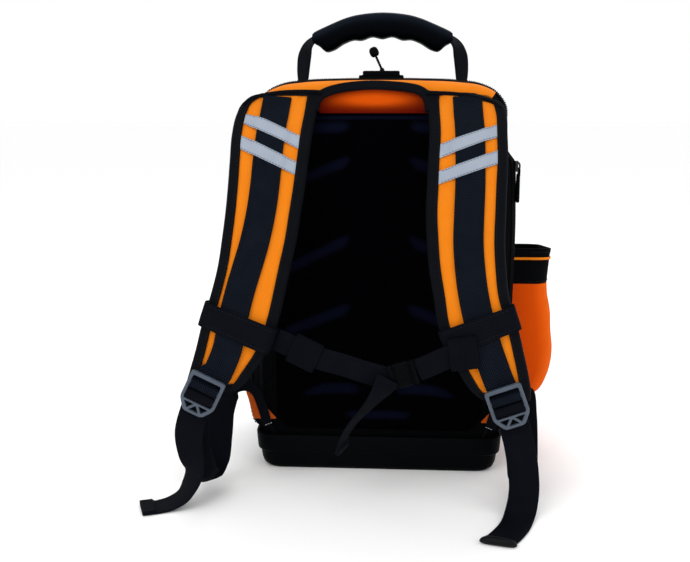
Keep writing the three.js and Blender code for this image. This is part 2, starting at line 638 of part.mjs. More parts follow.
// Flat band along the top of the body whose lower edge follows the arch
function yokeGeometry() {
  const legs = YOKE_PROFILE.map((p) => new THREE.Vector2(...p));
  const walk = (length) => {
    let rest = length;
    for (let i = 0; i < legs.length - 1; i += 1) {
      const run = legs[i + 1].clone().sub(legs[i]);
      if (rest <= run.length() || i === legs.length - 2) {
        const aside = new THREE.Vector2(run.y, -run.x).normalize();
        return { p: legs[i].clone().add(run.setLength(rest)), aside };
      }
      rest -= run.length();
    }
    return null;
  };
  const crown = STATIONS.filter((station) => Math.abs(station.p.x) <= YOKE.half && station.p.y > YOKE.foot);
  const rings = crown.map((station) => {
    const width = lookUp(YOKE_WIDTH, Math.abs(station.p.x - YOKE.middle));
    const spots = [0, 0.34, 0.67, 1].map((share) => walk(width * share));
    const inner = spots.map(({ p }) => onBody(station, p.y, p.x));
    const outer = spots.map(({ p, aside }) => {
      const q = p.clone().addScaledVector(aside, -YOKE.thick);
      return onBody(station, q.y, q.x);
    });
    return [...inner, ...outer.reverse()];
  });
  return skin(rings);
}

// Ribbon frames along a route: position, width direction and face direction at each point
function routeFrames(rows) {
  const places = rows.map((row) => point(...row.at));
  return rows.map((row, i) => {
    const before = places[Math.max(i - 1, 0)];
    const after = places[Math.min(i + 1, places.length - 1)];
    const along = after.clone().sub(before).normalize();
    const face = point(...row.across).cross(along).normalize();
    const across = along.clone().cross(face).normalize();
    return { p: places[i], across, face, along };
  });
}

function fromFrame(frame, a, b) {
  return frame.p.clone().addScaledVector(frame.across, a).addScaledVector(frame.face, b);
}

// One section of [across, out] corners carried along a run of frames
function sweep(frames, section) {
  return skin(frames.map((frame) => section.map(([a, b]) => fromFrame(frame, a, b))));
}

function ribbonGeometry(rows, width, thick) {
  const [a, b] = [width / 2, thick / 2];
  return sweep(routeFrames(rows), [[-a, -b], [a, -b], [a, b], [-a, b]]);
}

// Extra points between the given ones, on a smooth curve through them
function smoothRoute(rows, parts) {
  const places = new THREE.CatmullRomCurve3(rows.map((row) => point(...row.at)));
  const widths = new THREE.CatmullRomCurve3(rows.map((row) => point(...row.across)));
  const total = (rows.length - 1) * parts;
  return Array.from({ length: total + 1 }, (_, i) => ({
    at: places.getPoint(i / total).toArray(),
    across: widths.getPoint(i / total).toArray(),
  }));
}

function archGeometry() {
  const rows = ARCH_ROUTE.map((at, i) => {
    const before = ARCH_ROUTE[Math.max(i - 1, 0)];
    const after = ARCH_ROUTE[Math.min(i + 1, ARCH_ROUTE.length - 1)];
    const run = after[0] - before[0];
    return { at, across: [before[2] - after[2], ARCH.tilt * run, run] };
  });
  return sweep(routeFrames(rows), roundedRectangle(ARCH.width / 2, ARCH.thick / 2, ARCH.round));
}

// Frames of a shoulder strap, one for each row of its table, with the face towards the wearer
function strapFrames(rows) {
  const edges = rows.map((row) => ({
    outer: point(row.outer, row.y, row.z),
    inner: point(row.inner, row.y, row.z),
  }));
  const middles = edges.map((edge) => edge.outer.clone().lerp(edge.inner, 0.5));
  return rows.map((row, i) => {
    const before = middles[Math.max(i - 1, 0)];
    const after = middles[Math.min(i + 1, middles.length - 1)];
    const along = after.clone().sub(before).normalize();
    const across = edges[i].inner.clone().sub(edges[i].outer).normalize();
    const face = along.clone().cross(across).normalize();
    if (face.y > 0) face.negate();
    const half = edges[i].outer.distanceTo(edges[i].inner) / 2;
    return { p: middles[i], across, face, along, half, row };
  });
}

function shiftEnds(frames, distance) {
  const last = frames.length - 1;
  return frames.map((frame, i) => {
    const step = (i === 0 ? -distance : 0) + (i === last ? distance : 0);
    return { ...frame, p: frame.p.clone().addScaledVector(frame.along, step) };
  });
}

// Loft over a strap's frames, grown by a margin all round
function strapLoft(frames, margin) {
  return skin(shiftEnds(frames, margin).map((frame) => {
    const thick = frame.row.thick / 2 + margin;
    const section = roundedRectangle(frame.half + margin, thick, thick * 0.85);
    return section.map(([a, b]) => fromFrame(frame, a, b));
  }));
}

function strapBindingGeometry(frames) {
  const shell = solidOf(strapLoft(frames, GAP + BINDING_THICK)).subtract(solidOf(strapLoft(frames, GAP)));
  const window = skin(frames.slice(1, -1).map((frame) => (
    roundedRectangle(frame.half - BINDING_REACH, PAD_THICK, 1).map(([a, b]) => fromFrame(frame, a, b))
  )));
  return geometryOf(shell.subtract(solidOf(window)));
}

// Point on a strap's wearer side: share of the way between its rows, distance across, height over the face
function onStrap(frames, place, a, height) {
  const i = Math.min(Math.floor(place), frames.length - 2);
  const lift = (frame) => fromFrame(frame, a, frame.row.thick / 2 + height);
  return lift(frames[i]).lerp(lift(frames[i + 1]), place - i);
}

function lockAxes(lock) {
  const lean = THREE.MathUtils.degToRad(lock.lean);
  return {
    centre: point(...lock.centre),
    across: point(Math.cos(lean), 0, -Math.sin(lean)),
    up: point(Math.sin(lean), 0, Math.cos(lean)),
    face: point(0, -1, 0),
  };
}

function inLock(lock, below, front) {
  const axes = lockAxes(lock);
  const at = axes.centre.clone().addScaledVector(axes.up, -below).addScaledVector(axes.face, front);
  return { at: at.toArray(), across: axes.across.toArray() };
}

// Flat prism of an outline of [across, below] corners, square to the lock's face
function lockSlab(outline, thick) {
  const sheet = (front) => outline.map(([x, below]) => point(x, -below, front));
  return solidOf(skin([sheet(-thick / 2), sheet(thick / 2)]));
}

function lockGeometry(lock) {
  const { half, slot, thick, top, shoulder, tipHalf, tip } = LOCK;
  const outline = [
    [-half, top], [half, top], [half, shoulder], [tipHalf, tip], [-tipHalf, tip], [-half, shoulder],
  ];
  const slots = LOCK_SLOTS.map(([from, to]) => [[-slot, from], [slot, from], [slot, to], [-slot, to]]);
  const cuts = [...slots, ...LOCK_LATTICE].map((hole) => lockSlab(hole, thick * 2));
  const axes = lockAxes(lock);
  const place = new THREE.Matrix4().makeBasis(axes.across, axes.up, axes.face).setPosition(axes.centre);
  const frame = cuts.reduce((solid, cut) => solid.subtract(cut), lockSlab(outline, thick));
  return geometryOf(frame).applyMatrix4(place);
}

// Webbing down the middle of a strap, then behind the lock's top bar and around its first cross bar
function stripGeometry(frames, lock) {
  const side = Math.sign(frames[0].p.x);
  const last = frames.length - 1;
  const onPad = frames.slice(1, last - 1).map((frame, i) => {
    const clear = i + 3 >= last ? 2 * GAP + BINDING_THICK + 0.6 : 2 * GAP;
    const spot = onStrap(frames, Math.max(i + 1, 1.6), -frame.row.web, clear + STRIP_THICK / 2);
    return { at: spot.toArray(), across: frame.across.clone().multiplyScalar(-side).toArray() };
  });
  const around = STRIP_IN_LOCK.map(([below, front]) => inLock(lock, below, front));
  return ribbonGeometry([...onPad, ...around], WEB_WIDTH, STRIP_THICK);
}

function reflectorGeometry(frames, place, drop) {
  const low = GAP + REFLECTOR.rise;
  const high = 2 * GAP + STRIP_THICK + REFLECTOR.rise + 0.2;
  const edge = Math.min(frames[3].half, frames[4].half) - BINDING_REACH - 2;
  const web = WEB_WIDTH / 2;
  const off = -frames[4].row.web;
  const near = web + REFLECTOR.clear;
  const far = near + REFLECTOR.ramp;
  const stops = [
    [-edge, low], [off - far, low], [off - near, high], [off + near, high], [off + far, low], [edge, low],
  ];
  const length = REFLECTOR.length / 2;
  const { thick } = REFLECTOR;
  return skin(stops.map(([a, height]) => {
    const middle = place + (drop * (a + edge)) / (2 * edge);
    return [[-length, 0], [length, 0], [length, thick], [-length, thick]].map(([step, up]) => (
      onStrap(frames, middle + step, a, height + up)
    ));
  }));
}

function crossBandGeometry(frames) {
  const { from, to } = CROSS_BAND;
  const grow = 2 * GAP + BINDING_THICK;
  const rings = (place, extra) => {
    const i = Math.floor(place);
    const share = place - i;
    const ring = (frame) => {
      const thick = frame.row.thick / 2 + 3 * GAP + STRIP_THICK + extra;
      const section = roundedRectangle(frame.half + grow + extra, thick, CROSS_BAND.round);
      return section.map(([a, b]) => fromFrame(frame, a, b));
    };
    const here = ring(frames[i]);
    const next = ring(frames[i + 1]);
    return here.map((p, k) => p.clone().lerp(next[k], share));
  };
  const places = [from, Math.ceil(from), to];
  const inside = places.map((place) => rings(place, 0));
  const outside = places.map((place) => rings(place, STRIP_THICK));
  return skin([...inside, ...outside.reverse()], true);
}

function adjusterGeometry(loop, lock, tail) {
  const around = ADJUSTER_IN_LOCK.map(([below, front]) => inLock(lock, below, front));
  const rising = smoothRoute([...loop, around[0]], 2);
  const falling = smoothRoute([around[around.length - 1], ...tail], 2);
  return ribbonGeometry([...rising, ...around.slice(1, -1), ...falling], WEB_WIDTH, WEB_THICK);
}

function wingGeometry(side) {
  const ring = roundedPolygon(WING.corners, WING.round);
  return skin(WING.depths.map((y) => ring.map((p) => point(side * p.x, y, p.y))));
}

function leaningBox({ size, centre, lean, round }) {
  const [length, depth, height] = size;
  const ring = roundedRectangle(length / 2, height / 2, round);
  const box = skin([-1, 1].map((side) => ring.map(([x, z]) => point(x, (side * depth) / 2, z))));
  return box.rotateY(THREE.MathUtils.degToRad(lean)).translate(...centre);
}

function keeperGeometry() {
  const { centre, length, height, thick, wall } = STERNUM_KEEPER;
  const ring = (x, shrink) => {
    const section = roundedRectangle(thick / 2 - shrink, height / 2 - shrink, 1.4);
    return section.map(([y, z]) => point(x, y, z));
  };
  const half = length / 2;
  const sleeve = skin([ring(-half, 0), ring(half, 0), ring(half, wall), ring(-half, wall)], true);
  sleeve.rotateZ(THREE.MathUtils.degToRad(KEEPER_TURN.yaw));
  return sleeve.rotateY(THREE.MathUtils.degToRad(KEEPER_TURN.lean)).translate(...centre);
}

function gripRows() {
  const left = GRIP_HALF.slice(1).reverse().map((row) => ({ ...row, x: -row.x }));
  return [...left, ...GRIP_HALF];
}

function legRows(side) {
  return HANDLE_LEG.map(({ at, across }) => ({
    at: [side * at[0], at[1], at[2]],
    across: [side * across[0], across[1], across[2]],
  }));
}

function gripGeometry() {
  const rings = gripRows().map(({ x, top, under }) => {
    const half = (top - under) / 2;
    const section = roundedRectangle(GRIP_DEPTH / 2, half, Math.min(GRIP_ROUND, half * 0.8));
    return section.map(([y, z]) => point(x, y, (top + under) / 2 + z));
  });
  let grip = solidOf(skin(rings));
  [-1, 1].forEach((side) => {
    const channel = legRows(side).slice(2);
    const tail = channel[channel.length - 1].at;
    const deeper = { at: [tail[0] - side * GAP, tail[1], tail[2]], across: [0, 1, 0] };
    const route = [...channel.slice(0, -1), deeper];
    const cut = ribbonGeometry(route, NARROW_WEB + 2 * GAP, WEB_THICK + 2 * GAP);
    grip = grip.subtract(solidOf(cut));
  });
  return geometryOf(grip);
}

function topClipGeometry() {
  const shape = new THREE.Shape(TOP_CLIP.steps.map(([x, z]) => new THREE.Vector2(x, z)));
  const block = new THREE.ExtrudeGeometry(shape, { depth: TOP_CLIP.depth, bevelEnabled: false });
  return block.rotateX(Math.PI / 2).translate(0, TOP_CLIP.front, TOP_Z + GAP);
}

function toggleGeometry() {
  const profile = TOGGLE_PROFILE.map(([r, h]) => new THREE.Vector2(r, h));
  const lathe = new THREE.LatheGeometry(profile, TOGGLE.sides).rotateX(Math.PI / 2);
  const foot = TOP_Z + GAP + TOP_CLIP.height + TOGGLE.lift;
  return lathe.rotateY(THREE.MathUtils.degToRad(TOGGLE.lean)).translate(...TOGGLE.at, foot);
}

// Body
addPart("base_tub", baseGeometry(), "moulded");
addPart("gusset", gussetGeometry(), "bodyFabric");
addPart("back_panel", panelGeometry(BACK_WALL), "bodyFabric");
addPart("front_panel", panelGeometry(FRONT_WALL), "bodyFabric");
addPart("piping_back", pipingGeometry(BACK_WALL), "bodyFabric");
addPart("piping_front", pipingGeometry(FRONT_WALL), "bodyFabric");
addPart("upper_back", upperBackGeometry(), "deepOrange");
addPart("back_pad", backPadGeometry(), "mesh");
addPart("zip_tape", zipTapeGeometry(), "bodyFabric");
addPart("zip_slider", sliderGeometry(), "metal");
addPart("zip_pull", pullGeometry(), "moulded");
addPart("pocket_pouch", pouchGeometry(), "deepOrange");
addPart("pocket_band", pocketBandGeometry(), "bodyFabric");
addPart("pocket_trim", pocketTrimGeometry(), "orange");

// Harness
addPart("yoke", yokeGeometry(), "orange");
addPart("arch_binding", archGeometry(), "webbing");
const LEFT = {
  strap: LEFT_STRAP, lock: LEFT_LOCK, loop: LEFT_LOOP, tail: LEFT_TAIL, mark: 2.47, drop: 0.95,
};
const RIGHT = {
  strap: RIGHT_STRAP, lock: RIGHT_LOCK, loop: RIGHT_LOOP, tail: RIGHT_TAIL, mark: 2.98, drop: 0.75,
};
[["left", -1, LEFT], ["right", 1, RIGHT]].forEach(([name, sign, { strap, lock, loop, tail, mark, drop }]) => {
  const frames = strapFrames(strap);
  addPart(`wing_${name}`, wingGeometry(sign), "orange");
  addPart(`pad_${name}`, strapLoft(frames, 0), "orange");
  addPart(`binding_${name}`, strapBindingGeometry(frames), "webbing");
  addPart(`webbing_${name}`, stripGeometry(frames, lock), "webbing");
  addPart(`reflector_${name}_upper`, reflectorGeometry(frames, mark, drop), "reflector");
  addPart(`reflector_${name}_lower`, reflectorGeometry(frames, mark + REFLECTOR.step, drop), "reflector");
  addPart(`cross_band_${name}`, crossBandGeometry(frames), "webbing");
  addPart(`lock_${name}`, lockGeometry(lock), "lockPlastic");
  addPart(`adjuster_${name}`, adjusterGeometry(loop, lock, tail), "webbing");
});
addPart("sternum_left", ribbonGeometry(smoothRoute(STERNUM_LEFT, 2), NARROW_WEB, STRIP_THICK), "webbing");
addPart("sternum_keeper", keeperGeometry(), "webbing");
addPart("sternum_buckle", leaningBox(STERNUM_BUCKLE), "moulded");
addPart("sternum_right", ribbonGeometry(smoothRoute(STERNUM_RIGHT, 2), NARROW_WEB, STRIP_THICK), "webbing");
addPart("sternum_tail", ribbonGeometry(smoothRoute(STERNUM_TAIL, 2), NARROW_WEB, STRIP_THICK), "webbing");

// Top
addPart("grip", gripGeometry(), "moulded");
addPart("handle_leg_left", ribbonGeometry(legRows(-1), NARROW_WEB, WEB_THICK), "webbing");
addPart("handle_leg_right", ribbonGeometry(legRows(1), NARROW_WEB, WEB_THICK), "webbing");
addPart("top_clip", topClipGeometry(), "moulded");
addPart("pull_toggle", toggleGeometry(), "moulded");

export default backpack;
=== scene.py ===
"""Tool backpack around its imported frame: fabric, foam, webbing, plastics, floor, light and camera."""

import math

import bmesh
import bpy
import numpy as np
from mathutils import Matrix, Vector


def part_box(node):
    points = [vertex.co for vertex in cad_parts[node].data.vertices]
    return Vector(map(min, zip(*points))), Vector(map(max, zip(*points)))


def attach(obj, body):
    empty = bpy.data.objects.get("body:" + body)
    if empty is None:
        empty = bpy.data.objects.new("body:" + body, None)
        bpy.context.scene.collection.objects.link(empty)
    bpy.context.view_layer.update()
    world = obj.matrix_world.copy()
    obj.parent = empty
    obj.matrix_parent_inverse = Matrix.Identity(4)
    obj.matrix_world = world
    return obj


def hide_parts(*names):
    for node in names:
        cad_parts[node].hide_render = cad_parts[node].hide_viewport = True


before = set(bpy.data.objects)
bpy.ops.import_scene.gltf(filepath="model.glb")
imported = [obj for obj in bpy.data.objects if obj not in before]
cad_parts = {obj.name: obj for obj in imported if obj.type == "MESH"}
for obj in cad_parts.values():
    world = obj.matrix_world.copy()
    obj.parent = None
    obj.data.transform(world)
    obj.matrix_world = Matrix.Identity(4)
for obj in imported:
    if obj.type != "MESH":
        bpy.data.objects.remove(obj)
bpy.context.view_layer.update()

# Lengths are millimetres in the row frame until a mesh is made
MM = 0.001
BAG = "bag"
GAP = 0.4
SIDES = (("left", -1), ("right", 1))
UP = (0, 0, 1.0)
TO_WEARER = (0, -1.0, 0)

# Body, as in the part's source: half width against height, and the set-in of the wall against depth
BACK_Y = -92
FRONT_Y = 106
WALL = 3
TOP_Z = 465
BODY_OUTLINE = [
    (142.5, 34), (144.8, 44.5), (152, 52), (156.5, 66), (157.5, 90), (157, 180), (157, 320), (153, 390),
    (148, 418), (141.5, 437), (130, 451), (113, 459), (90, 462.5), (45, 464.5), (0, TOP_Z),
]
GUSSET_PROFILE = [
    (BACK_Y, 18), (-86, 7), (-74, 1.5), (-50, 0), (50, 0), (88, 2), (100, 9), (FRONT_Y, 22),
]
WALL_MIDDLE_Z = 250

# Hollow in the right wall above the zip slider: depth, and where and over what length each side fades out
ZIP_DENT = {"depth": 9, "foot": (370, 18), "top": (441, 45), "front": (30, 80)}

# Seams of the two large walls, the swell of the front one, and the size, height and seed of slow waves
BACK_SEAM_INSET = 18.6
FRONT_SEAM_INSET = 22.6
FRONT_SWELL = 9
SIDE_WAVES = {"size": 95, "height": 0.8, "seed": 3}
BACK_WAVES = {"size": 120, "height": 0.9, "seed": 5}
FRONT_WAVES = {"size": 120, "height": 0.9, "seed": 6}
POCKET_WAVES = {"size": 60, "height": 1.3, "seed": 8}
PIPING = {"radius": 2.0, "girth": 12.6, "back_inset": 17.6, "front_inset": 21.5}

# Tiers of the base tub: height, half width, back, front and corner round, outside up and inside down
TIER_ROUND = 1.1
BASE_TIERS = [
    (0, 136, -91.5, 104, 13), (4, 141, -95, 106, 15), (11, 143.5, -96.5, 107.5, 16),
    (22, 145, -97.5, 108.5, 17), (24, 148, -100, 111.5, 18), (45, 149.5, -101, 113, 19),
    (45, 145.4, -95.4, 109.4, 18.5),
    (9, 138, -89, 103, 15), (4.5, 130, -82, 96, 12),
]

# Shoulder straps: height, depth, outer edge, inner edge, webbing off centre, foam thickness
FOAM = 15
LEFT_STRAP = [
    (447, -103.5, -136, -69.5, 0, 8), (437, -108, -153, -71, 0, 10), (426, -114, -158, -72, 0, 13),
    (404, -128, -161.5, -75, 0, FOAM), (376, -142, -162, -78, 0.5, FOAM), (348, -152, -163, -81, 0.5, FOAM),
    (320, -160, -165, -85, 1, FOAM), (292, -168, -168, -89, 3, FOAM), (264, -174, -172, -95, 6, FOAM),
    (235, -180, -179, -101, 8, FOAM), (206, -184, -188, -108, 7, FOAM), (174, -188, -196, -120, 3.5, 14),
    (150, -190.5, -203, -136, 2.5, 12), (140, -191, -206, -143, 2.5, 10), (131, -190, -206, -153, 2.5, 9),
]
RIGHT_STRAP = [
    (447, -103.5, 107, 55, 0, 8), (437, -108, 133, 54, 0, 10), (426, -114, 137, 54.5, 0, 13),
    (404, -128, 137.5, 55.5, 1, FOAM), (376, -142, 137.5, 54, 2, FOAM), (348, -152, 136, 53, 3, FOAM),
    (320, -160, 135, 52, 3, FOAM), (292, -168, 134, 53.5, 2, FOAM), (264, -174, 135.5, 56, 2, FOAM),
    (235, -180, 139, 61, 2, FOAM), (206, -184, 148, 66, 2, FOAM), (174, -188, 156, 79, 2, 14),
    (148, -190.5, 162, 93, 2, 12), (136, -191, 164, 101, 2, 10), (126, -190, 164, 112, 2, 9),
]
STRAP_STEP = 5
BINDING_REACH = 11
BINDING_THICK = 1.2
BINDING_SEAT = 0.15
BINDING_LINE = [BINDING_REACH, 9.5, 8, 6, 4.2, 3, 2, 1.2, 0.5, 0.12]
END_COVER = {"top": 4, "foot": 9, "clear": 0.2, "start": 0.5, "bulge": 1.6}
EDGE_STITCH_ROWS = (0.4, 13.4)

# Webbing: its thickness, the mesh strip on the straps with its places in rows of the strap tables, and the
# narrow webbing of the sternum strap and the handle
WEB_THICK = 2
STRIP_WIDTH = 32
STRIP_THICK = 1.6
STRIP_ROWS = {"top": 0.4, "straight": 2.4, "stitched": 11.6, "end": 12.01, "step": 0.2}
STRIP_LIFT = {"height": 1.8, "from": 8.5, "length": 2.5}
STRIP_STITCH = {"inset": 1.8, "lift": 1.05}
WEB_CLEAR = 1.3
NARROW_WEB = 25

# Black seam along the top edge of each strap: depth at a level, section, and place across and height
TOP_SEAM = {"depth": -109.2, "level": 447, "slope": 0.42, "lift": 1.1, "width": 4.4, "thick": 2.6}
TOP_SEAM_ACROSS = (0, -0.35, 1)
LEFT_SEAM = [(-152, 435), (-144, 442), (-129, 446), (-112, 448.7), (-95, 449.6), (-72, 449.4), (-65, 449)]
RIGHT_SEAM = [(50, 448.4), (57, 448.2), (77, 447.4), (93.5, 445.6), (110, 442.2), (124, 437.8), (132, 432)]

# Swelling of the pads: cloth settings, pressures and the furthest that a point may move
SWELL = {"quality": 4, "mass": 0.3, "stiffness": 15, "bending": 0.5, "frames": 16,
         "strap_pressure": 5, "strap_cap": 1.6, "back_pressure": 8, "back_cap": 2.5}
FOAM_SLACK = 1.0

# Foam section: its points, how the edges are pinched by the binding, and the round of the very edge
PAD_MESH = {"columns": 49, "crowding": 0.3, "lay_half": 42}
EDGE_PINCH = 15
EDGE_SHARE = 0.55
EDGE_ROUND = 3

# Reflectors and cross bands, placed in rows of the strap tables
REFLECTOR = {"length": 0.48, "thick": 0.6, "step": 0.95, "seat": 0.25, "drape": 7, "lay_half": 7}
REFLECTOR_SECTION = [(-1, 0), (-1, 1), (-0.5, 1), (0, 1), (0.5, 1), (1, 1), (1, 0)]
LEFT_MARK = {"place": 2.47, "drop": 0.95}
RIGHT_MARK = {"place": 2.98, "drop": 0.75}
CROSS_BAND = {"from": 9.75, "to": 10.6, "tilt": 0.0114, "aside": 2.6, "front": 4.6, "back": 2.0,
              "round": 5.0, "thick": 1.6, "row_length": 26, "girth": 190}

# Ladder locks: centre, lean about Y, and the outline and openings in [across, below] of the centre
LEFT_LOCK = {"centre": (-189.5, -204.5, 128), "lean": 26}
RIGHT_LOCK = {"centre": (140.5, -204.5, 121), "lean": -20}
LOCK_THICK = 5
LOCK_BEVEL = 0.9
LOCK_ROUND = {"outline": 4.0, "slot": 1.6, "lattice": 1.2}
LOCK_OUTLINE = [(-20.2, -23), (20.2, -23), (20.2, 10), (11, 23), (-11, 23), (-20.2, 10)]
LOCK_SLOTS = [(-18.5, -11.5), (-7.5, 0), (4, 9.5)]
LOCK_SLOT_HALF = 16.2
LOCK_LATTICE = [
    [(-14.2, 12), (-2.8, 12), (-8.5, 19)],
    [(2.8, 12), (14.2, 12), (8.5, 19)],
    [(-5.8, 20), (0, 13), (5.8, 20)],
]
STRIP_IN_LOCK = [
    (-19, -4.4), (-16.6, -4.2), (-14.3, -2), (-13.5, 1), (-12.9, 3.3), (-11, 4.2),
    (-8, 4.3), (-5.6, 3.4), (-4.6, 0.6), (-5, -2.6),
]
ADJUSTER_IN_LOCK = [
    (12, -8.6), (5, -6.8), (1, -4.9), (-1.4, -3.2), (-2.2, 0), (-1.4, 3.2),
    (1, 4.2), (4, 4.2), (6.3, 2.9), (7, 0), (7.4, -2.4), (9, -4.5),
]

# Adjusting webbing outside the locks: place and width direction
LEFT_LOOP = [
    (-133.5, -100.9, 57, 0.98, 0, 0.2), (-136.5, -100.9, 71, 0.97, 0, 0.24),
    (-141, -100.9, 86, 0.95, 0, 0.3), (-146.5, -101.5, 99, 0.88, 0, 0.47),
    (-155, -105, 108, 0.7, 0.15, 0.7), (-166, -112, 112.5, 0.6, 0.2, 0.77),
    (-176.5, -120.5, 107, 0.86, 0.36, 0.36), (-182.5, -129, 90, 0.93, 0.35, 0),
    (-185.5, -137, 58, 0.95, 0.3, 0.02), (-188, -143, 32, 0.95, 0.28, 0.1),
    (-192, -149.5, 15, 0.93, 0.26, 0.22), (-195, -158, 9.5, 0.92, 0.24, 0.26),
    (-196.5, -167, 15, 0.94, 0.2, 0.2), (-198, -177, 37, 0.97, 0.12, 0), (-200, -187, 66, 0.95, 0, -0.3),
]
LEFT_TAIL = [
    (-205, -202, 80, 0.97, -0.15, -0.15), (-203, -203, 58, 0.92, -0.32, 0.15),
    (-200.5, -203, 38, 0.74, -0.62, 0.18), (-206, -204, 23, 0.66, -0.74, 0.1),
    (-214, -206, 11, 0.55, -0.83, 0.05), (-226, -209, 4, 0.47, -0.88, 0),
    (-240, -214, 1.6, 0.44, -0.9, 0), (-256, -220.5, 1.6, 0.46, -0.89, 0),
]
RIGHT_LOOP = [
    (133.5, -100.9, 57, 0.98, 0, -0.2), (136.5, -100.9, 71, 0.97, 0, -0.24),
    (141, -100.9, 86, 0.95, 0, -0.3), (146.5, -101.5, 99, 0.88, 0, -0.47),
    (153, -105, 110, 0.7, -0.15, -0.7), (159.5, -112, 115.5, 0.66, -0.2, -0.72),
    (164.5, -120.5, 109, 0.88, -0.33, -0.33), (167, -129, 88, 0.93, -0.36, 0),
    (168, -137, 57, 0.94, -0.33, 0), (168, -143, 30, 0.95, -0.3, 0), (167.5, -149, 13, 0.96, -0.28, 0),
    (167, -157, 7.5, 0.96, -0.26, 0), (166, -166, 13, 0.97, -0.22, 0.05),
    (162, -177, 34, 0.97, -0.12, 0.18), (158, -187, 60, 0.95, -0.05, 0.28),
]
RIGHT_TAIL = [
    (155, -202.5, 72, 0.98, 0, 0.18), (159, -204, 48, 1, 0, 0.06), (159.8, -207, 25, 1, -0.05, 0),
    (157.7, -211, 12, 0.99, -0.1, 0), (154, -219, 4.5, 0.97, -0.2, 0), (149.5, -231, 1.9, 0.96, -0.28, 0),
    (143.4, -245, 1.6, 0.94, -0.33, 0), (135.6, -259, 1.6, 0.9, -0.42, 0),
    (129.5, -269, 1.6, 0.93, -0.36, 0), (126.5, -276.5, 1.6, 0.95, -0.3, 0),
]
ADJUSTER_WIDTH = 32.5

# Ends of webbing: lengths, thickness and step of the folded hems, the taper of a cut end, and the roll at
# the end of the right tail
HEM = {"left": 16, "right": 8, "sternum": 9, "thick": 4.8, "run": 2.5}
END_TAPER = {"share": 0.03, "length": 2.0}
RIGHT_ROLL = {"ends": [(107, -272.4), (143.8, -281.2)], "radius": 4.4}
FLOOR_CLEAR = 0.1

# Share of its width to which the adjusting webbing is folded on the wing, and where and how long it opens
WING_FOLD = {"share": 0.36, "length": 36, "start": 46}

# Lift of the webbing's edges over its middle where it turns up at the foot of its loop
LOOP_CUP = {"lift": 7, "from": 34, "to": 16, "depth": -190}

# Sternum strap: place and width direction
STERNUM_LEFT = [
    (-109, -185.6, 186.4, 0.25, 0, 1), (-92, -187.5, 179.5, 0.4, 0, 1), (-76, -189.4, 172.5, 0.4, 0, 1),
    (-58, -191.5, 166.5, 0.27, 0, 1), (-40, -193.5, 162.5, 0.25, 0, 1), (-14, -196, 155, 0.3, 0, 1),
    (12.5, -197, 148, 0.26, 0, 1),
]
STERNUM_RIGHT = [
    (43.6, -196.6, 157.6, -0.3, 0, 1), (56, -197.5, 163.5, -0.5, 0, 1), (68, -199.5, 170, -0.5, 0, 1),
    (80, -201.5, 175.5, -0.3, 0, 1), (90, -201.5, 178, -0.1, 0, 1),
]
STERNUM_TAIL = [
    (12.5, -203, 149.5, 0.8, 0, -0.6), (8, -204.5, 141, 0.75, 0.35, -0.55),
    (0.9, -205, 130.7, 0.55, 0.68, -0.48), (-10.9, -203, 115.2, 0.38, 0.85, -0.36),
    (-24, -198, 98.4, 0.32, 0.9, -0.28), (-34.2, -191, 79.4, 0.3, 0.93, -0.18),
    (-40, -186, 62.2, 0.3, 0.94, -0.12),
]

# Sternum buckle, its shell, arms and rib by sections of [place, shrink], and the two keepers of the webbing
STERNUM_BUCKLE = {"centre": (28, -197, 153), "length": 31, "depth": 9, "height": 28, "lean": -17}
BUCKLE_SHELL = [
    (-1, 2.2), (-0.97, 0.8), (-0.9, 0), (-0.62, 0), (-0.58, 1.0), (-0.5, 1.0), (-0.46, 0), (0.5, 0),
    (0.56, 1.2), (0.64, 1.2), (0.7, 0), (0.9, 0.2), (0.97, 1.0), (1, 2.4),
]
BUCKLE_ARM = [(-0.42, 1.6), (-0.36, 0.3), (0.36, 0.3), (0.42, 1.6)]
BUCKLE_RIB = [(-0.34, 1.4), (-0.28, 0.3), (0.4, 0.3), (0.46, 1.4)]
LEFT_KEEPER = {"centre": (-77.5, -189.3, 172.7), "length": 32, "height": 33, "thick": 7.5, "lean": 25,
               "yaw": -4.6}
RIGHT_KEEPER = {"centre": (91.6, -201.5, 178.5), "length": 30.2, "height": 36, "thick": 7, "lean": -8,
                "yaw": 2}
KEEPER_WALL = 1.8
KEEPER_ROUND = 2.4

# Handle: distance from the middle, top and underside; webbing legs as place and width direction
GRIP_DEPTH = 34
GRIP_END = 82
GRIP_ROUND = 11
GRIP_HALF = [
    (0, 545.5, 515), (12, 545, 517.3), (25, 543.6, 513.3), (35, 541.8, 513.6), (46, 538.6, 509.6),
    (60, 533, 501.5), (68, 529.5, 500), (77, 525.5, 507), (84, 521.5, 510.5),
]
HANDLE_LEG = [
    (97, 0, 463.35, 0.55, 0.84, 0), (96.3, 0, 482, 0.68, 0.73, 0), (94.3, 0, 497, 0.66, 0.72, 0.17),
    (90.8, 0, 507, 0.46, 0.82, 0.26), (85, 0, 513.5, 0.28, 0.92, 0.31), (75, 0, 517, 0.1, 0.95, 0.33),
]

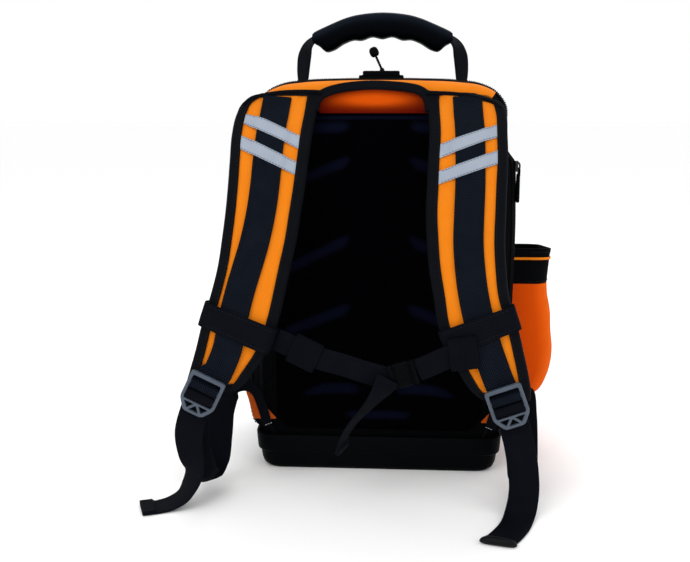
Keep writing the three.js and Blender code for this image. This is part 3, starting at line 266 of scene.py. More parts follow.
# Back pad: outline, ribs of the left half by their corners, and the lumbar tail
BACK_PAD = {"half": 122, "bottom": 52, "top": 425, "round": 22, "thick": 6, "edge": 1.2, "rim": 5, "rib": 8,
            "rib_end": 7, "rows": 120, "columns": 81, "crowding": 0.35}
BACK_RIBS = [
    [(-29, 392), (-29, 418), (-104, 416), (-112, 362)],
    [(-29, 304), (-29, 384), (-112, 350), (-116, 262)],
    [(-29, 222), (-29, 295), (-116, 251), (-117, 187)],
    [(-24, 124), (-29, 213), (-117, 177), (-114, 112)],
    [(-14, 84), (-17, 108), (-32, 114), (-76, 110), (-101, 92), (-95, 82)],
]
LUMBAR_TAIL = [(-42, 55), (-46, 77), (46, 77), (42, 55)]
RIB_SLOPE = {"start": 1.5, "length": 15}
UPPER_BACK = [
    (-70, 427), (56, 427), (54.6, 440), (47, 448), (36, 452.5), (14, 455.5), (-7, 456.5), (-28, 455.5),
    (-50, 452.5), (-61, 448), (-68.6, 440),
]
UPPER_BACK_DEPTHS = (-96.7, -98.7)

# Yoke: path over the edge as [depth, set-in]; its width, and its reach under the arch's tape, against
# distance from the arch's middle
YOKE = {"middle": -7, "half": 131, "lowest": 440, "thick": 3.5, "columns": 10, "lay_width": 20}
YOKE_PROFILE = [(-80.5, 4), (-91, 6), (-97.8, 14.5), (-97.8, 30)]
YOKE_WIDTH = [(0, 8.5), (36, 9), (50, 11), (62, 14), (80, 21.5), (97, 21.5), (108, 17), (131, 11)]
UNDER_ARCH = [(40, 3), (50, 6.5)]
ARCH = {"width": 11, "thick": 5, "tilt": 0.35}
ARCH_ROUTE = [
    (-73.5, -111, 430), (-71, -107.5, 441), (-66, -104, 447), (-57.5, -102.5, 451.3), (-48, -100.5, 454),
    (-28, -98, 457), (-7, -97.2, 458), (14, -98, 457), (32, -100.5, 455), (43, -102.5, 452.3),
    (50, -104, 447.5), (53.5, -107.5, 440), (55, -111, 429),
]

# Orange triangle at each lower corner of the back, and the three stitches of its bar tack
WING = [
    (122, 64), (150.5, 64), (156.5, 90), (159, 97), (159.5, 111), (152, 112.5), (146.5, 101), (140.5, 87),
    (133.5, 77),
]
WING_DEPTHS = (-96.6, -98.8)
BAR_TACK = {"x": 128, "y": -102.2, "z": 60.5, "step": (2.8, -1.2), "length": (2.0, -0.6), "radius": 0.36}

# Side pocket: reach from the wall against height, where its cloth is free, its black top band and its trim
POCKET = {"back": -54, "front": 66, "wall": 2, "round": 20, "band": 225, "top": 268, "slope": 0.1}
POCKET_REACH = [(80, 24), (88, 41), (108, 52), (140, 56), (185, 50), (225, 46)]
POCKET_TOP_REACH = 49
POCKET_FREE = {"wall": 25, "foot": (84, 20), "top": (224, 14)}
POCKET_TRIM = {"z": 256, "height": 3}
TRIM_SECTION = [(-1, 0.3), (-1, 1.0), (-0.5, 1.35), (0.5, 1.35), (1, 1.0), (1, 0.3)]
POCKET_WALL_X = 157.6

# Block on the top: rows of height, half width and half depth; toggle over it: rows of radius and height
CLIP_Y = -46
CLIP_ROWS = [
    (0, 26, 11), (4.2, 26, 11), (5, 25.2, 10.2), (5.1, 22.2, 10.6), (5.6, 21.5, 10.6), (8.8, 21.5, 10.6),
    (9.6, 21.0, 10.1), (10, 20.0, 9.1), (10, 12, 5.5), (9.2, 11.2, 4.7), (9.2, 2, 1),
]
TOGGLE_LEAN = -25
TOGGLE_FOOT = (0.5, CLIP_Y, TOP_Z + GAP + 11.7)
TOGGLE_BEAD = [(3.0, 16.4), (4.6, 18.4), (5.1, 21.8), (4.6, 25), (2.8, 27.3), (0.4, 27.8)]
TOGGLE_COLLAR = [(2.6, -3), (2.6, 0.4), (2.0, 1.3), (1.5, 1.5)]

# Zip round the back edge, from the heights where it turns, with its teeth
ZIP = {"side": -77, "top": -69, "turn": (400, 450), "half": 8, "tape": 1, "seat": 0.8, "pitch": 2.4}
TOOTH = {"radius": 0.85, "long": 2.6, "short": 0.9, "lowest": 52, "slider_gap": 5}

# Zip slider: how far it is set into the wall, its outline, its layers as [height, growth] and its bail
SLIDER_Z = 367
SLIDER_SET_IN = 1.5
SLIDER_OUTLINE = [(-4.5, 6.5), (4.5, 6.5), (4.2, -2), (3.0, -6.5), (-3.0, -6.5), (-4.2, -2)]
SLIDER_LAYERS = [(0.0, -0.5), (0.4, 0), (1.1, 0), (1.3, -0.9), (2.1, -0.9), (2.3, 0), (3.1, 0), (3.5, -0.6)]
BAIL = {"foot": 3.2, "height": 2.6, "reach": 4.6, "radius": 1.1}

# Zip pull under its pivot: wire loop, tab as outline and layers of [out, growth], and its ribs
PIVOT = (161.18, -77, 364.45)
PULL_LOOP = {"corners": [(-4.4, 0.5), (4.4, 0.5), (4.4, -9), (-4.4, -9)], "out": -1.6, "radius": 1.1}
PULL_TAB = [(-3.4, -5.5), (3.4, -5.5), (5, -34), (3.6, -39), (-3.6, -39), (-5, -34)]
PULL_LAYERS = [(-4.3, -1.2), (-3.9, -0.4), (-3.3, 0), (-1.5, 0), (-0.9, -0.2), (-0.5, -0.8)]
PULL_RIBS = {"count": 6, "top": -19, "step": 2.9, "half": 3.2, "out": -0.7, "radius": 0.45}

# Floor, lights by name, place, size and power, and the photograph's camera, in metres and degrees
FLOOR_HALF = 30.0
LIGHT_TARGET = (0, -0.1, 0.28)
LIGHTS = [
    ("key", (-0.9, -1.6, 1.7), 1.2, 14), ("fill", (1.5, -1.3, 0.9), 1.2, 5),
    ("back_top", (0.2, 1.2, 1.9), 1.4, 14),
]
CAMERA = {"place": (0.019198, -1.099832, 0.430), "turn": (78.9925, 0, 3.3586), "lens": 45.717, "sensor": 36}


# Numbers, curves and outlines


def linear(code):
    """Scene-linear colour of a hexadecimal display colour."""
    channels = [((code >> shift) & 255) / 255 for shift in (16, 8, 0)]
    return [c / 12.92 if c <= 0.04045 else ((c + 0.055) / 1.055) ** 2.4 for c in channels] + [1.0]


def unit(v):
    """Vectors scaled to a length of one."""
    return v / np.maximum(np.linalg.norm(v, axis=-1, keepdims=True), 1e-9)


def ease(x):
    """Smooth step from 0 to 1."""
    x = np.clip(x, 0, 1)
    return x * x * (3 - 2 * x)


def spread(count, crowding):
    """Places from -1 to 1, crowded towards both ends."""
    turns = np.linspace(-math.pi / 2, math.pi / 2, count)
    return crowding * np.sin(turns) + (1 - crowding) * np.linspace(-1, 1, count)


def at_lengths(lengths, walk, rows):
    """Rows of values at lengths walked along a line."""
    return np.stack([np.interp(lengths, walk, column) for column in np.transpose(rows)], axis=-1)


def smooth(rows, step, places=3):
    """Rows resampled at an even step on a smooth curve through them; the first columns are the place."""
    rows = np.asarray(rows, float)
    chords = np.linalg.norm(np.diff(rows[:, :places], axis=0), axis=1)
    knots = np.concatenate([[0], np.cumsum(chords)])
    slopes = np.gradient(rows, knots, axis=0)
    fine = np.linspace(0, knots[-1], 24 * len(rows))
    i = np.clip(np.searchsorted(knots, fine, side="right") - 1, 0, len(rows) - 2)
    gap = chords[i][:, None]
    s = (fine - knots[i])[:, None] / gap
    dense = (2 * s**3 - 3 * s**2 + 1) * rows[i] + (s**3 - 2 * s**2 + s) * gap * slopes[i]
    dense += (3 * s**2 - 2 * s**3) * rows[i + 1] + (s**3 - s**2) * gap * slopes[i + 1]
    walk = path_lengths(dense[:, :places])
    even = np.linspace(0, walk[-1], max(3, int(round(walk[-1] / step)) + 1))
    return at_lengths(even, walk, dense)


def path_lengths(points):
    """Length walked up to each point of a line."""
    return np.concatenate([[0], np.cumsum(np.linalg.norm(np.diff(points, axis=0), axis=1))])


def frames_along(run):
    """Place, width direction, face direction and length walked for rows of place and width direction."""
    places = run[:, :3]
    along = unit(np.gradient(places, axis=0))
    face = unit(np.cross(run[:, 3:6], along))
    across = unit(np.cross(along, face))
    return places, across, face, path_lengths(places)


def rectangle(half_a, half_b):
    """Corners of a rectangle about the origin."""
    return [(-half_a, -half_b), (half_a, -half_b), (half_a, half_b), (-half_a, half_b)]


def upright(outline, depth):
    """Places of an outline in [x, z] at one depth."""
    return np.column_stack([outline[:, 0], np.full(len(outline), depth), outline[:, 1]])


def level(outline, z):
    """Places of an outline in [x, y] at one height."""
    return np.column_stack([outline, np.full(len(outline), z)])


def on_side(outline, x, y, z):
    """Places of an outline in [y, z] about a place on the right wall."""
    return np.column_stack([np.full(len(outline), x), y + outline[:, 0], z + outline[:, 1]])


# Meshes and pieces


def loft(rings, looped=False):
    """Points and faces of a skin through rings of equal count, with its ends closed unless it is a loop."""
    rings = np.asarray(rings, float)
    count, size = rings.shape[:2]
    faces = []
    for i in range(count if looped else count - 1):
        here, after = i * size, (i + 1) % count * size
        faces += [(here + k, here + (k + 1) % size, after + (k + 1) % size, after + k) for k in range(size)]
    if not looped:
        faces += [tuple(range(size)), tuple(range((count - 1) * size, count * size))]
    return rings.reshape(-1, 3), faces


def lay_out(lengths, across):
    """Weave coordinates of a loft: length along it and distance across it, in millimetres."""
    u, v = np.meshgrid(lengths, across, indexing="ij")
    return np.stack([u, v, np.zeros_like(u)], axis=-1).reshape(-1, 3)


def new_object(name, data):
    """Object with its data, in the scene."""
    obj = bpy.data.objects.new(name, data)
    bpy.context.collection.objects.link(obj)
    return obj


def piece(name, points, faces, material, slot, nodes=(), body=BAG, lay=None, sharp=45):
    """One mesh with its material, weave coordinates and body, and the frame nodes it stands in for."""
    mesh = bpy.data.meshes.new(name)
    mesh.from_pydata((np.asarray(points, float) * MM).tolist(), [], faces)
    shell = bmesh.new()
    shell.from_mesh(mesh)
    bmesh.ops.recalc_face_normals(shell, faces=shell.faces)
    shell.to_mesh(mesh)
    shell.free()
    mesh.shade_smooth()
    mesh.set_sharp_from_angle(angle=math.radians(sharp))
    weave = mesh.attributes.new("lay", "FLOAT_VECTOR", "POINT")
    weave.data.foreach_set("vector", np.ravel(points if lay is None else lay).astype(np.float32))
    mesh.materials.append(material)
    obj = new_object(name, mesh)
    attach(obj, body)
    if nodes:
        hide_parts(*nodes)
    return obj


def joined(parts):
    """Points and faces of several meshes as one."""
    points, faces, offset = [], [], 0
    for some_points, some_faces in parts:
        points.append(np.asarray(some_points, float))
        faces += [tuple(offset + k for k in face) for face in some_faces]
        offset += len(some_points)
    return np.vstack(points), faces


# Materials


def feed(tree, socket, value):
    """Links an input to another node's output, or sets it to a constant."""
    if isinstance(value, bpy.types.NodeSocket):
        tree.links.new(value, socket)
    else:
        socket.default_value = value


def node(tree, kind, **inputs):
    """New shader node; numbers, colours and sockets are given by input name with _ for a space."""
    made = tree.nodes.new(kind)
    for name, value in inputs.items():
        feed(tree, made.inputs[name.replace("_", " ")], value)
    return made


def reckon(tree, operation, *values):
    """Output of a math node on sockets or numbers."""
    made = tree.nodes.new("ShaderNodeMath")
    made.operation = operation
    for socket, value in zip(made.inputs, values):
        feed(tree, socket, value)
    return made.outputs[0]


def blend_colours(tree, share, first, second):
    """Output of a mix of two colours, by the mix node's own order of sockets."""
    made = tree.nodes.new("ShaderNodeMix")
    made.data_type = "RGBA"
    for index, value in ((0, share), (6, first), (7, second)):
        feed(tree, made.inputs[index], value)
    return made.outputs[2]


def new_material(name):
    """New material with its node tree and its surface shader."""
    material = bpy.data.materials.new(name)
    material.use_nodes = True
    tree = material.node_tree
    return material, tree, tree.nodes["Principled BSDF"]


def lay_axes(tree):
    """Sockets of a piece's weave coordinates, by axis."""
    lay = tree.nodes.new("ShaderNodeAttribute")
    lay.attribute_name = "lay"
    return node(tree, "ShaderNodeSeparateXYZ", Vector=lay.outputs["Vector"]).outputs


def finish_surface(tree, surface, height, strength, depth, **values):
    """Bumps a surface by a depth in millimetres and sets its constants, by input name with _ for a space."""
    bump = node(tree, "ShaderNodeBump", Strength=strength, Distance=depth * MM, Height=height)
    tree.links.new(bump.outputs["Normal"], surface.inputs["Normal"])
    for name, value in values.items():
        surface.inputs[name.replace("_", " ")].default_value = value


def yarn(tree, along, pitch):
    """Wave of one set of yarns, from -1 to 1, at a pitch in millimetres."""
    return reckon(tree, "SINE", reckon(tree, "MULTIPLY", along, 2 * math.pi / pitch))


def cloth(name, colour, worn, weave, depth, rough=0.85, sheen=0.0, gloss=0.2, rib=0.0, shade=0.35):
    """Woven material on the lay coordinates: two sets of yarns, worn patches, soft sheen and a bump."""
    material, tree, surface = new_material(name)
    lay = lay_axes(tree)
    warp = yarn(tree, reckon(tree, "MULTIPLY_ADD", lay["Y"], rib, lay["X"]), weave[0])
    weft = yarn(tree, lay["Y"], weave[1])
    checks = reckon(tree, "MULTIPLY", warp, weft)
    place = tree.nodes.new("ShaderNodeTexCoord").outputs["Object"]
    patches = node(tree, "ShaderNodeTexNoise", Vector=place, Scale=55.0, Detail=5.0, Roughness=0.6)
    fuzz = node(tree, "ShaderNodeTexNoise", Vector=place, Scale=1400.0, Detail=2.0)
    mottled = blend_colours(tree, patches.outputs["Fac"], linear(colour), linear(worn))
    tinted = tree.nodes.new("ShaderNodeVectorMath")
    tinted.operation = "SCALE"
    feed(tree, tinted.inputs[0], mottled)
    feed(tree, tinted.inputs["Scale"], reckon(tree, "MULTIPLY_ADD", checks, shade / 2, 1 - shade / 2))
    feed(tree, surface.inputs["Base Color"], tinted.outputs[0])
    height = reckon(tree, "MULTIPLY_ADD", fuzz.outputs["Fac"], 0.6, checks)
    finish_surface(tree, surface, height, 0.6, depth, Roughness=rough, Specular_IOR_Level=gloss,
                   Sheen_Weight=sheen, Sheen_Roughness=0.5)
    return material


def moulding(name, colour, worn, rough, gloss=0.4, metal=0.0):
    """Moulded or cast material: a fine grain, uneven colour and uneven gloss."""
    material, tree, surface = new_material(name)
    place = tree.nodes.new("ShaderNodeTexCoord").outputs["Object"]
    patches = node(tree, "ShaderNodeTexNoise", Vector=place, Scale=70.0, Detail=4.0).outputs["Fac"]
    grain = node(tree, "ShaderNodeTexNoise", Vector=place, Scale=900.0, Detail=3.0).outputs["Fac"]
    feed(tree, surface.inputs["Base Color"], blend_colours(tree, patches, linear(colour), linear(worn)))
    feed(tree, surface.inputs["Roughness"], reckon(tree, "MULTIPLY_ADD", patches, 0.2, rough - 0.1))
    finish_surface(tree, surface, grain, 0.5, 0.12, Specular_IOR_Level=gloss, Metallic=metal)
    return material


def shaded(material, dark, centre, reach):
    """Paints shade into a material's colour: darker away from a centre on its lay coordinates."""
    tree = material.node_tree
    colour = tree.nodes["Principled BSDF"].inputs["Base Color"]
    lay = lay_axes(tree)
    away = 0.0
    for axis, middle, span in zip("XY", centre, reach):
        off = reckon(tree, "DIVIDE", reckon(tree, "SUBTRACT", lay[axis], middle), span)
        away = reckon(tree, "MULTIPLY_ADD", off, off, away)
    share = reckon(tree, "DIVIDE", 1.0, reckon(tree, "MULTIPLY_ADD", away, away, 1.0))
    feed(tree, colour, blend_colours(tree, share, linear(dark), colour.links[0].from_socket))
    return material


def lit_from_above(material, light, start=0.15, reach=0.4):
    """Paints a highlight into the colour of the slopes of a material that face upwards."""
    tree = material.node_tree
    colour = tree.nodes["Principled BSDF"].inputs["Base Color"]
    normal = tree.nodes.new("ShaderNodeNewGeometry").outputs["Normal"]
    upward = node(tree, "ShaderNodeSeparateXYZ", Vector=normal).outputs["Z"]
    share = reckon(tree, "DIVIDE", reckon(tree, "SUBTRACT", upward, start), reach)
    feed(tree, colour, blend_colours(tree, share, colour.links[0].from_socket, linear(light)))
    return material


ORANGE = cloth("orange_cloth", 0xE6780A, 0xEE8714, (1.5, 1.5), 0.25, sheen=0.05, gloss=0.1, shade=0.2)
# Wing cloth: the orange cloth made darker, which is painted shade from the strap in front of it.
WING_ORANGE = cloth("wing_cloth", 0xB24A12, 0xBE5417, (1.5, 1.5), 0.25, sheen=0.03, gloss=0.05, shade=0.2)
# Pocket cloth with painted shade: darker away from its back corner, towards the wall it is sewn to and round
# its outer side.
POCKET_ORANGE = shaded(
    cloth("pocket_cloth", 0xF46A05, 0xFC7A0C, (1.6, 1.6), 0.35, sheen=0.02, gloss=0.04),
    0xCF3901, (185, 60), (260, 44))
# Upper panel with painted shade: its orange is darker than the pocket's, and it falls off to dark red away
# from a band across its middle, towards its sides, top and bottom, as under the arch.
SHADED_ORANGE = shaded(
    cloth("shaded_cloth", 0xCE4A04, 0xDA5608, (1.5, 1.5), 0.3, gloss=0.03, shade=0.2),
    0x4E0200, (-7, 442), (41, 7.2))
BODY_CLOTH = cloth("body_cloth", 0x050608, 0x090A0D, (2.2, 2.2), 0.5, gloss=0.03, shade=0.5)
# Back pad mesh with a painted highlight: the light colour 0x080B1A on its slopes that face upwards.
BACK_MESH = lit_from_above(
    cloth("back_mesh_cloth", 0x010102, 0x030306, (3.0, 3.0), 0.6, rough=0.8, gloss=0.006, shade=0.6),
    0x080B1A)
WEBBING = cloth("ribbed_webbing", 0x06080D, 0x0D1018, (3.4, 2.0), 0.5, rough=0.7, gloss=0.03, rib=0.5)
WAXED_WEBBING = cloth("waxed_webbing", 0x050608, 0x0B0C0F, (3.4, 2.0), 0.2, rough=0.35, gloss=0.1)
STRAP_MESH = cloth("strap_mesh", 0x0C111A, 0x1B2331, (3.2, 3.2), 0.8, rough=0.6, gloss=0.03, shade=1.0)
BINDING = cloth("binding_tape", 0x07090E, 0x0D1016, (1.8, 1.8), 0.3, rough=0.7, gloss=0.04, shade=0.4)
REFLECTIVE = cloth("reflective_cloth", 0x8791A0, 0x9EA8B6, (1.1, 1.1), 0.12, rough=0.4, sheen=0.15,
                   gloss=0.4, shade=0.15)
BLACK_THREAD = cloth("black_thread", 0x0D0F14, 0x171A20, (1.0, 1.0), 0.1, rough=0.6, gloss=0.1)
GREY_THREAD = cloth("grey_thread", 0x4A515C, 0x5D6570, (1.0, 1.0), 0.1, rough=0.6, gloss=0.3)
WHITE_THREAD = cloth("white_thread", 0xB9BCC2, 0xE2E4E8, (1.0, 1.0), 0.1, rough=0.6, sheen=0.15, gloss=0.4)
MOULDED = moulding("moulded_plastic", 0x020304, 0x050608, 0.45, gloss=0.025)
# Grip rubber with a painted highlight: its own colours are the lit top band, and it darkens to 0x020305 down
# its front.
GRIP_RUBBER = shaded(
    moulding("grip_rubber", 0x0E131A, 0x141A23, 0.4, gloss=0.012),
    0x020305, (0, 0), (8, 400))
LOCK_GREY = moulding("lock_plastic", 0x38414D, 0x4A5461, 0.42, gloss=0.3)
DARK_METAL = moulding("slider_paint", 0x101216, 0x1B1D22, 0.35, gloss=0.4, metal=0.3)


# Webbing and stitches


def web_section(width, thick):
    """Section of a strap of webbing as (across, out): flat faces and round edges."""
    radius = thick / 2
    turns = np.radians(np.linspace(-90, 90, 5))
    edge = [(width / 2 - radius + radius * math.cos(t), radius * math.sin(t)) for t in turns]
    flats = np.linspace(0.6, -0.6, 5) * (width / 2)
    top = [(a, radius) for a in flats]
    return np.array(edge + top + [(-a, -b) for a, b in edge] + [(-a, -b) for a, b in top])


def ribbon(name, rows, width, thick, nodes=(), step=2.0, hem=0.0, material=WEBBING, fold=None, cup=None):
    """Strap of webbing along a route.

    hem is the length of a folded end, fold narrows the start and cup lifts the edges by place.
    """
    run = smooth(rows, step)
    places, across, face, walk = frames_along(run)
    section = web_section(width, thick)
    bowl = (2 * section[:, :1] / width) ** 2 * np.array(UP)
    rings = []
    for i, place in enumerate(places):
        out = section[:, 1]
        from_end = walk[-1] - walk[i]
        doubled = ease((hem - from_end) / HEM["run"]) if hem else 0
        out = np.where(out < 0, out * (1 + doubled * (2 * HEM["thick"] / thick - 2)), out)
        narrow = 1 - END_TAPER["share"] * max(0, 1 - min(from_end, walk[i]) / END_TAPER["length"])
        if fold:
            narrow *= fold["share"] + (1 - fold["share"]) * ease((walk[i] - fold["start"]) / fold["length"])
        ring = place + across[i] * (section[:, :1] * narrow) + face[i] * out[:, None]
        rings.append(ring + bowl * cup(place) if cup else ring)
    return piece(name, *loft(rings), material, "webbing", nodes, lay=lay_out(walk, section[:, 0]))


def bead(start, end, face, radius):
    """One stitch: a slim six-sided spindle that dips at both ends."""
    along = end - start
    side = unit(np.cross(along, face))
    rings = []
    for share, girth, rise in ((0, 0.35, -0.6), (0.25, 0.95, 0.2), (0.75, 0.95, 0.2), (1, 0.35, -0.6)):
        middle = start + along * share + face * radius * rise
        turns = np.radians(np.arange(0, 360, 60))
        rings.append([middle + radius * girth * (side * math.cos(t) + face * math.sin(t)) for t in turns])
    return loft(rings)


def stitch_line(points, outward, length=3.2, gap=1.4, radius=0.42):
    """Stitches along a line of points, with the outward direction at each."""
    walk = path_lengths(points)
    places = np.arange(1.0, walk[-1] - length, length + gap)
    starts = at_lengths(places, walk, points)
    ends = at_lengths(places + length, walk, points)
    faces = unit(at_lengths(places, walk, outward))
    return [bead(start, end, face, radius) for start, end, face in zip(starts, ends, faces)]


def stitching(name, beads, material, slot):
    """All the stitches of a seam as one piece."""
    return piece(name, *joined(beads), material, slot)


# Shoulder straps


def strap_run(rows):
    """Samples down a shoulder strap, with width direction inwards and face direction towards the camera."""
    table = [((outer + inner) / 2, y, z, outer, inner, web, thick, i)
             for i, (z, y, outer, inner, web, thick) in enumerate(rows)]
    run = smooth(table, STRAP_STEP)
    middle = run[:, :3]
    along = unit(np.gradient(middle, axis=0))
    across = np.zeros_like(middle)
    across[:, 0] = np.sign(run[:, 4] - run[:, 3])
    face = unit(np.cross(along, across))
    face *= -np.sign(face[:, 1:2])
    return {"middle": middle, "across": across, "face": face, "half": np.abs(run[:, 4] - run[:, 3]) / 2,
            "web": run[:, 5], "thick": run[:, 6], "row": run[:, 7], "walk": path_lengths(middle)}


def at_row(strap, row):
    """The strap's own values at places counted in rows of its table."""
    spot = {}
    for key, values in strap.items():
        read = at_lengths if values.ndim == 2 else np.interp
        spot[key] = read(row, strap["row"], values)
    spot["face"] = unit(spot["face"])
    return spot


def sample(strap, i):
    """The strap's own values at one of its samples."""
    return {key: values[i] for key, values in strap.items()}


def foam_height(edge, thick):
    """Half thickness of the foam at a distance from its edge, pinched under the binding."""
    full = thick / 2 * (EDGE_SHARE + (1 - EDGE_SHARE) * ease(edge / EDGE_PINCH))
    rim = np.clip(1 - edge / EDGE_ROUND, 0, 1)
    return full * np.sqrt(1 - rim**2)


def on_strap(spot, aside, out):
    """Point at a distance aside of the strap's middle and a height out of its middle layer."""
    aside, out = np.asarray(aside)[..., None], np.asarray(out)[..., None]
    return spot["middle"] + spot["across"] * aside + spot["face"] * out


def swell(obj, held, pressure, cap):
    """Puffs a sewn pad: a short cloth simulation under pressure with the seams held, kept in the mesh."""
    group = obj.vertex_groups.new(name="sewn_down")
    group.add(np.flatnonzero(held).tolist(), 1.0, "REPLACE")
    modifier = obj.modifiers.new("swelling", "CLOTH")
    settings = modifier.settings
    settings.quality = SWELL["quality"]
    settings.mass = SWELL["mass"]
    for strain in ("tension", "compression", "shear"):
        setattr(settings, f"{strain}_stiffness", SWELL["stiffness"])
    settings.bending_stiffness = SWELL["bending"]
    settings.use_pressure = True
    settings.uniform_pressure_force = pressure
    settings.effector_weights.gravity = 0
    settings.vertex_group_mass = "sewn_down"
    scene = bpy.context.scene
    for moment in range(1, SWELL["frames"] + 1):
        scene.frame_set(moment)
    puffed = obj.evaluated_get(bpy.context.evaluated_depsgraph_get()).data
    start, end = (np.empty(3 * len(held)) for _ in range(2))
    obj.data.vertices.foreach_get("co", start)
    puffed.vertices.foreach_get("co", end)
    move = (end - start).reshape(-1, 3)
    far = np.linalg.norm(move, axis=1, keepdims=True)
    move *= np.minimum(1, cap * MM / np.maximum(far, 1e-9))
    obj.modifiers.remove(modifier)
    obj.vertex_groups.remove(group)
    obj.data.vertices.foreach_set("co", start + move.ravel())
    obj.data.update()
    scene.frame_set(1)


def strap_pad(side, strap):
    """Foam of a strap, held down under its bindings, its webbing and its ends."""
    shares = spread(PAD_MESH["columns"], PAD_MESH["crowding"])
    under = slice(-2, 0, -1)
    rings, held = [], []
    for i, row in enumerate(strap["row"]):
        spot = sample(strap, i)
        half = spot["half"]
        aside = shares * half
        tall = foam_height(half - np.abs(aside), spot["thick"])
        bound = np.abs(aside) > half - BINDING_REACH + 1
        covered = np.abs(aside + spot["web"]) < STRIP_WIDTH / 2 - 1
        free = ~(bound | covered)
        ends = row < 0.5 or row > strap["row"][-1] - 0.5
        held += [~free | ends, (bound | ends)[under]]
        front = on_strap(spot, aside, tall - FOAM_SLACK * free)
        back = on_strap(spot, aside[under], -tall[under])
        rings.append(np.vstack([front, back]))
    across = np.concatenate([shares, shares[under]]) * PAD_MESH["lay_half"]
    obj = piece(f"foam_{side}", *loft(rings), ORANGE, "orange_fabric", [f"pad_{side}"],
                lay=lay_out(strap["walk"], across))
    swell(obj, np.concatenate(held), SWELL["strap_pressure"], SWELL["strap_cap"])


def binding_rings(strap, sign):
    """U-shaped binding over one edge of the strap, from its face round to its back, and its weave across."""
    reach = np.array(BINDING_LINE)
    rings = []
    for i in range(len(strap["row"])):
        spot = sample(strap, i)
        aside, tall = spot["half"] - reach, foam_height(reach, spot["thick"])
        line = np.column_stack([[*aside, spot["half"], *aside[::-1]], [*tall, 0, *-tall[::-1]]])
        run = unit(np.gradient(line, axis=0))
        normal = np.stack([-run[:, 1], run[:, 0]], 1)
        normal *= np.sign(normal[len(line) // 2, 0])
        inner = line + normal * BINDING_SEAT
        outer = line + normal * (BINDING_SEAT + BINDING_THICK)
        loop = np.vstack([outer, inner[::-1]])
        rings.append(on_strap(spot, sign * loop[:, 0], loop[:, 1]))
    return rings, np.concatenate([-reach, [0], reach[::-1], reach, [0], -reach[::-1]])


def strap_binding(side, strap):
    """Bound edges and ends of a strap as one piece."""
    parts, lays = [], []
    for sign in (-1, 1):
        rings, across = binding_rings(strap, sign)
        parts.append(loft(rings))
        lays.append(lay_out(strap["walk"], across))
    for i, cover in ((len(strap["row"]) - 1, END_COVER["foot"]), (0, END_COVER["top"])):
        points, faces = end_wrap(strap, i, cover)
        parts.append((points, faces))
        lays.append(points)
    piece(f"edge_binding_{side}", *joined(parts), BINDING, "webbing", [f"binding_{side}"],
          lay=np.vstack(lays))


def end_wrap(strap, i, cover):
    """Bound end of the strap: a tape folded over the foam's end, covering some of its face."""
    spot = sample(strap, i)
    along = unit(spot["middle"] - strap["middle"][i - 1 if i else 1])
    clear, start, bulge = (END_COVER[key] for key in ("clear", "start", "bulge"))
    turns = np.radians(np.linspace(70, -70, 7))
    rings = []
    for aside in np.linspace(-spot["half"], spot["half"], 25):
        tall = foam_height(spot["half"] - abs(aside), spot["thick"]) + clear
        top = tall + BINDING_THICK
        bend = [(start + bulge * math.cos(t), top * math.sin(t)) for t in turns]
        outer = [(-cover, top), (start, top), *bend, (start, -top), (-cover, -top)]
        inner = [(-cover, -tall), (clear, -tall), (clear, tall), (-cover, tall)]
        rings.append([on_strap(spot, aside, out) + along * reach for reach, out in outer + inner])
    return loft(rings)


def strap_stitches(side, strap):
    """Stitches along both bindings of a strap."""
    beads = []
    first, last = EDGE_STITCH_ROWS
    sewn = (strap["row"] > first) & (strap["row"] < last)
    edge = BINDING_REACH - 2
    out = foam_height(edge, strap["thick"]) + BINDING_THICK + 0.35
    for sign in (-1, 1):
        line = on_strap(strap, sign * (strap["half"] - edge), out)
        beads += stitch_line(line[sewn], strap["face"][sewn])
    stitching(f"edge_stitching_{side}", beads, BLACK_THREAD, "webbing")


def lock_axes(lock):
    """Centre of a lock, and its directions across, up and out."""
    lean = math.radians(lock["lean"])
    across = np.array([math.cos(lean), 0, -math.sin(lean)])
    up = np.array([math.sin(lean), 0, math.cos(lean)])
    return np.array(lock["centre"], float), across, up, np.array(TO_WEARER)


def through_lock(lock, places):
    """Rows of a route round the bars of a lock, from places in [below, in front] of its centre."""
    centre, across, up, face = lock_axes(lock)
    return [np.concatenate([centre - up * below + face * front, across]) for below, front in places]


def strap_webbing(side, strap, lock):
    """Mesh webbing down the middle of the strap and round the top bar of its lock."""
    rows = np.arange(STRIP_ROWS["top"], STRIP_ROWS["end"], STRIP_ROWS["step"])
    spot = at_row(strap, rows)
    lift = STRIP_LIFT["height"] * ease((rows - STRIP_LIFT["from"]) / STRIP_LIFT["length"])
    line = on_strap(spot, -spot["web"], spot["thick"] / 2 + WEB_CLEAR + lift)
    straight = np.searchsorted(rows, STRIP_ROWS["straight"])
    lean = (line[straight + 5, 0] - line[straight, 0]) / (line[straight + 5, 2] - line[straight, 2])
    line[:straight, 0] = line[straight, 0] + lean * (line[:straight, 2] - line[straight, 2])
    right = np.array([1.0, 0, 0])
    route = [np.concatenate([place, right]) for place in line] + through_lock(lock, STRIP_IN_LOCK)
    ribbon(f"mesh_webbing_{side}", route, STRIP_WIDTH, STRIP_THICK, [f"webbing_{side}"], material=STRAP_MESH)
    beads = []
    sewn = rows < STRIP_ROWS["stitched"]
    for sign in (-1, 1):
        aside = right * sign * (STRIP_WIDTH / 2 - STRIP_STITCH["inset"])
        edge = line + aside + spot["face"] * STRIP_STITCH["lift"]
        beads += stitch_line(edge[sewn], spot["face"][sewn])
    stitching(f"webbing_stitching_{side}", beads, BLACK_THREAD, "webbing")


